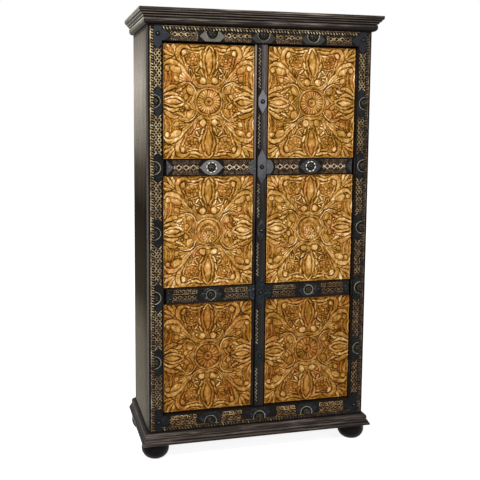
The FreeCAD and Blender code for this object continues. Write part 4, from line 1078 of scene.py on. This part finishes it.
class Rounds:
    """Round pieces built of rings of points, gathered in one mesh. Their places are in millimetres."""

    def __init__(self, plane):
        self.plane = plane
        self.points = []
        self.faces = []
        self.kinds = []

    def turned(self, x, z, rings, around, cuts=()):
        """One round piece. Each ring has a radius, a height, and what share of it dips between 8 petals.
        Cuts are (axis, limit, side) planes that trim the piece."""
        first = len(self.points)
        for distance, rise, dip in rings:
            for n in range(around):
                angle = 2 * math.pi * n / around
                petal = 0.5 + 0.5 * math.cos(8 * angle)
                lift = rise * (1 - dip + dip * petal)
                place = {"x": x + distance * math.cos(angle), "z": z + distance * math.sin(angle)}
                for axis, limit, side in cuts:
                    place[axis] = (min if side > 0 else max)(place[axis], limit)
                self.points.append((place["x"] * MM, self.plane - lift * MM, place["z"] * MM))
        for number in range(len(rings) - 1):
            a = first + number * around
            b = a + around
            for n in range(around):
                m = (n + 1) % around
                self.faces.append([a + m, b + m, b + n, a + n])

    def medallion(self, x, z, sizes, cuts=()):
        """A flower boss in a round rim. Sizes are its radius, its boss's radius and the rim's width."""
        around = 48
        radius, boss, rim = sizes
        dip = 0.28
        scale = min(1.0, boss / 15.0 + 0.1)
        rings = [(0.0, 7.0, 0), (1.8, 7.0, 0), (2.2, 6.4, 0), (boss * 0.4, 5.6, dip), (boss * 0.6, 6.2, dip),
                 (boss * 0.85, 5.0, dip), (boss, 1.6, dip), (boss + 1, 1.0, 0), (radius - rim - 0.6, 1.0, 0),
                 (radius - rim, 2.2, 0), (radius - rim / 2, 2.6, 0), (radius - 0.4, 2.2, 0),
                 (radius, 1.6, 0), (radius, 0.0, 0)]
        self.turned(x, z, [(distance, rise * scale, share) for distance, rise, share in rings], around, cuts)
        black, ring, dot, petal = 0, 1, 2, 3
        # The middle of the boss takes the pale dot finish: a painted glint.
        for kind in (dot, black, black, petal, petal, black, black, black, ring, ring, ring, ring, ring):
            for n in range(around):
                between_petals = math.cos(8 * 2 * math.pi * (n + 0.5) / around) <= 0
                dotted_rim = (n > around / 2 or rim > 3) and n % 6 < 3
                if kind == petal and between_petals:
                    self.kinds.append(black)
                elif kind == ring and dotted_rim:
                    self.kinds.append(dot)
                else:
                    self.kinds.append(kind)

    def nail(self, x, z, radius):
        """A domed nail with a painted glint, a pale spot, in the middle of its dark head."""
        around = 24
        rings = [(0.0, 4.8, 0), (radius * 0.26, 4.6, 0), (radius * 0.34, 3.6, 0), (radius * 0.8, 2.6, 0),
                 (radius, 1.0, 0), (radius, 0.0, 0)]
        self.turned(x, z, rings, around)
        # The first ring of faces, the painted glint, takes the pale dot finish.
        self.kinds += [1] * around + [0] * around * (len(rings) - 2)

    def make(self, name, finishes, body):
        return piece(name, self.points, self.faces, finishes, body, self.kinds, smooth=True)


medal_sizes = (27.0, 16.0, 2.6)
medal_offset = 7
rosette_sizes = (22.0, 14.0, 3.2)
plate_thick = 1.5
nail_radius = 9.5


def frame_medallions():
    rounds = Rounds(plate_front)
    for level in post_levels:
        for side in (-1, 1):
            edge = side * border_inner
            rounds.medallion(edge, level, medal_sizes, [("x", edge, side)])
    top_edge = strip_high.z - strip_gap - border_width
    bottom_edge = strip_low.z + strip_gap + border_width
    for place in (-213.0, 0.0, 213.0):
        for edge, side in ((top_edge, 1), (bottom_edge, -1)):
            rounds.medallion(place, edge - side * medal_offset, medal_sizes, [("z", edge, side)])
    finishes = [boss_finish, ring_finish, dot_and_glint_finish, petal_finish]
    made = rounds.make("frame_medallion_flowers", finishes, "case")
    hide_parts("frame_medallions")


frame_medallions()


def door_rosettes(node, body):
    """Two rosettes on a door's rails, in the middle of their plates. Gives their place across."""
    low, high = box_mm(node)
    x = (low.x + high.x) / 2
    radius = rosette_sizes[0]
    rounds = Rounds(rail_front - plate_thick * MM)
    for z in (low.z + radius, high.z - radius):
        rounds.medallion(x, z, rosette_sizes)
    made = rounds.make(node + "_flowers", [boss_finish, door_ring_finish, dot_and_glint_finish, petal_finish], body)
    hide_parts(node)
    return x


left_plate_x = door_rosettes("left_door_rosettes", "left_door")
right_plate_x = door_rosettes("right_door_rosettes", "right_door")


def nail_heads(node, body, columns, levels):
    """Nails in columns and rows."""
    rounds = Rounds(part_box(node)[1].y)
    for x in columns:
        for z in levels:
            rounds.nail(x, z, nail_radius)
    made = rounds.make(node + "_heads", [boss_finish, dot_and_glint_finish], body)
    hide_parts(node)


stile_low, stile_high = box_mm("meeting_stile_nails")
stile_x = (stile_low.x + stile_high.x) / 2
lower_rail, upper_rail = [sum(edge.z for edge in box_mm("left_rail_" + row)) / 2
                          for row in ("lower", "upper")]
stile_levels = [stile_low.z + nail_radius, lower_rail, post_levels[2], upper_rail,
                stile_high.z - nail_radius]
nail_heads("meeting_stile_nails", "right_door", [stile_x], stile_levels)
corner_low, corner_high = box_mm("corner_nails")
nail_heads("corner_nails", "case", [corner_low.x + nail_radius, corner_high.x - nail_radius],
           [corner_low.z + nail_radius, corner_high.z - nail_radius])


# Ornament of the doors' rails


def rail_paint(door, plate_x):
    """Diamonds between dotted rows on the upper rail, and a meander over small diamonds on the lower one.
    Places across are counted from the middle of the rail's plate."""
    body = door + "_door"
    band_start, band_end, chain_end = 60, 160, 150
    near_row, far_row = 18, 26
    low, high = box_mm(door + "_rail_upper")
    middle = (low.z + high.z) / 2
    pale, dim = Inlay(rail_front), Inlay(rail_front)
    for side in (-1, 1):
        chain(pale, dim, plate_x + side * band_start, plate_x + side * chain_end, middle, count=3)
        for rise in (-1, 1):
            hatched(dim, plate_x + side * 56, plate_x + side * 156, middle + rise * near_row)
            hatched(dim, plate_x + side * 50, plate_x + side * 158, middle + rise * far_row,
                    half=2.6, pitch=7.5, width=1.7)
    pale.make(door + "_upper_rail_diamonds", pale_paint, body)
    dim.make(door + "_upper_rail_dots", dim_paint, body)
    low, high = box_mm(door + "_rail_lower")
    middle = (low.z + high.z) / 2
    tan, dim = Inlay(rail_front), Inlay(rail_front)
    for side in (-1, 1):
        start, end = plate_x + side * band_start, plate_x + side * band_end
        meander(tan, start, end, middle + 8, middle + 24)
        small_chain(tan, start, end, middle - 6, half_z=7.0)
        dotted(dim, start, end, middle - 22, pitch=9.0, half=2.6)
    tan.make(door + "_lower_rail_meander", tan_paint, body)
    dim.make(door + "_lower_rail_dots", dim_paint, body)


rail_paint("left", left_plate_x)
rail_paint("right", right_plate_x)

stile_spans = ((215.0, 360.0), (465.0, 610.0), (755.0, 895.0), (1000.0, 1140.0), (1285.0, 1425.0),
               (1530.0, 1690.0))
zigzag_left, zigzag_right = -18.0, -9.0
stile_paint = Inlay(stile_front)
for z0, z1 in stile_spans:
    zigzag(stile_paint, zigzag_left, zigzag_right, z0, z1)
stile_paint.make("meeting_stile_ornament", ash_paint, "right_door")


# Camera, fitted to the photograph


def photo_camera():
    place = Vector((-0.92412, -3.03716, 1.39737))
    yaw, pitch, roll = -0.23916, 0.10654, 0.00474
    focal_px, middle_x, middle_y, image_px = 730.86, 208.05, 198.8, 480.0
    forward = Vector((-math.sin(yaw) * math.cos(pitch), math.cos(yaw) * math.cos(pitch), -math.sin(pitch)))
    right = Vector((math.cos(yaw), math.sin(yaw), 0))
    up = right.cross(forward)
    across = right * math.cos(roll) + up * math.sin(roll)
    over = up * math.cos(roll) - right * math.sin(roll)
    data = bpy.data.cameras.new("photo_camera")
    data.sensor_width = 36
    data.lens = focal_px * data.sensor_width / image_px
    data.shift_x = (image_px / 2 - middle_x) / image_px
    data.shift_y = (middle_y - image_px / 2) / image_px
    camera = placed("photo_camera", data)
    camera.matrix_world = Matrix.Translation(place) @ Matrix((across, over, -forward)).transposed().to_4x4()
    bpy.context.scene.camera = camera


photo_camera()


# Floor, light and background


def white_to_camera(tree, lit, white, target):
    """Shows white where the camera, a reflection or glass sees the surface, and lit to all other rays."""
    path = add_node(tree, "LightPath")
    seen = path.outputs["Is Camera Ray"]
    for name in ("Is Glossy Ray", "Is Transmission Ray"):
        either = add_node(tree, "Math")
        either.operation = "MAXIMUM"
        feed(either.inputs[0], seen)
        feed(either.inputs[1], path.outputs[name])
        seen = either.outputs["Value"]
    mix = add_node(tree, "MixShader", Fac=seen)
    feed(mix.inputs[1], lit)
    feed(mix.inputs[2], white)
    feed(target, mix.outputs["Shader"])


def floor():
    mesh = bpy.data.meshes.new("floor")
    reach = 12.0
    corners = [(-reach, -reach, 0), (reach, -reach, 0), (reach, reach, 0), (-reach, reach, 0)]
    mesh.from_pydata(corners, [], [(0, 1, 2, 3)])
    made = placed("floor", mesh)
    material = bpy.data.materials.new("floor")
    material.use_nodes = True
    tree = material.node_tree
    shader = tree.nodes["Principled BSDF"]
    grey = (0.8, 0.8, 0.8, 1)
    feed(shader.inputs["Base Color"], grey)
    feed(shader.inputs["Roughness"], 0.9)
    feed(shader.inputs["Specular IOR Level"], 0.0)
    lit = shader.outputs["BSDF"]
    glow = add_node(tree, "Emission", Strength=0.88)
    both = add_node(tree, "AddShader")
    feed(both.inputs[0], lit)
    feed(both.inputs[1], glow.outputs["Emission"])
    white_to_camera(tree, lit, both.outputs["Shader"], tree.nodes["Material Output"].inputs["Surface"])
    mesh.materials.append(material)


def world():
    studio = bpy.data.worlds.new("studio")
    studio.use_nodes = True
    bpy.context.scene.world = studio
    tree = studio.node_tree
    full_white = (1, 1, 1, 1)
    soft = tree.nodes["Background"]
    feed(soft.inputs["Color"], full_white)
    feed(soft.inputs["Strength"], 0.25)
    white = add_node(tree, "Background", Color=full_white, Strength=1.0)
    white_to_camera(tree, soft.outputs["Background"], white.outputs["Background"],
                    tree.nodes["World Output"].inputs["Surface"])


def lamp(name, place, aim, size, power):
    data = bpy.data.lights.new(name, "AREA")
    data.size = size
    data.energy = power
    made = placed(name, data)
    made.location = place
    made.rotation_mode = "QUATERNION"
    made.rotation_quaternion = (Vector(aim) - Vector(place)).to_track_quat("-Z", "Y")


floor()
world()
lamp("key", place=(-2.2, -3.0, 3.9), aim=(0, 0, 1.0), size=0.8, power=250)
lamp("fill", place=(2.8, -3.2, 1.6), aim=(0, 0, 0.9), size=2.5, power=30)
bpy.context.scene.view_settings.view_transform = "Standard"
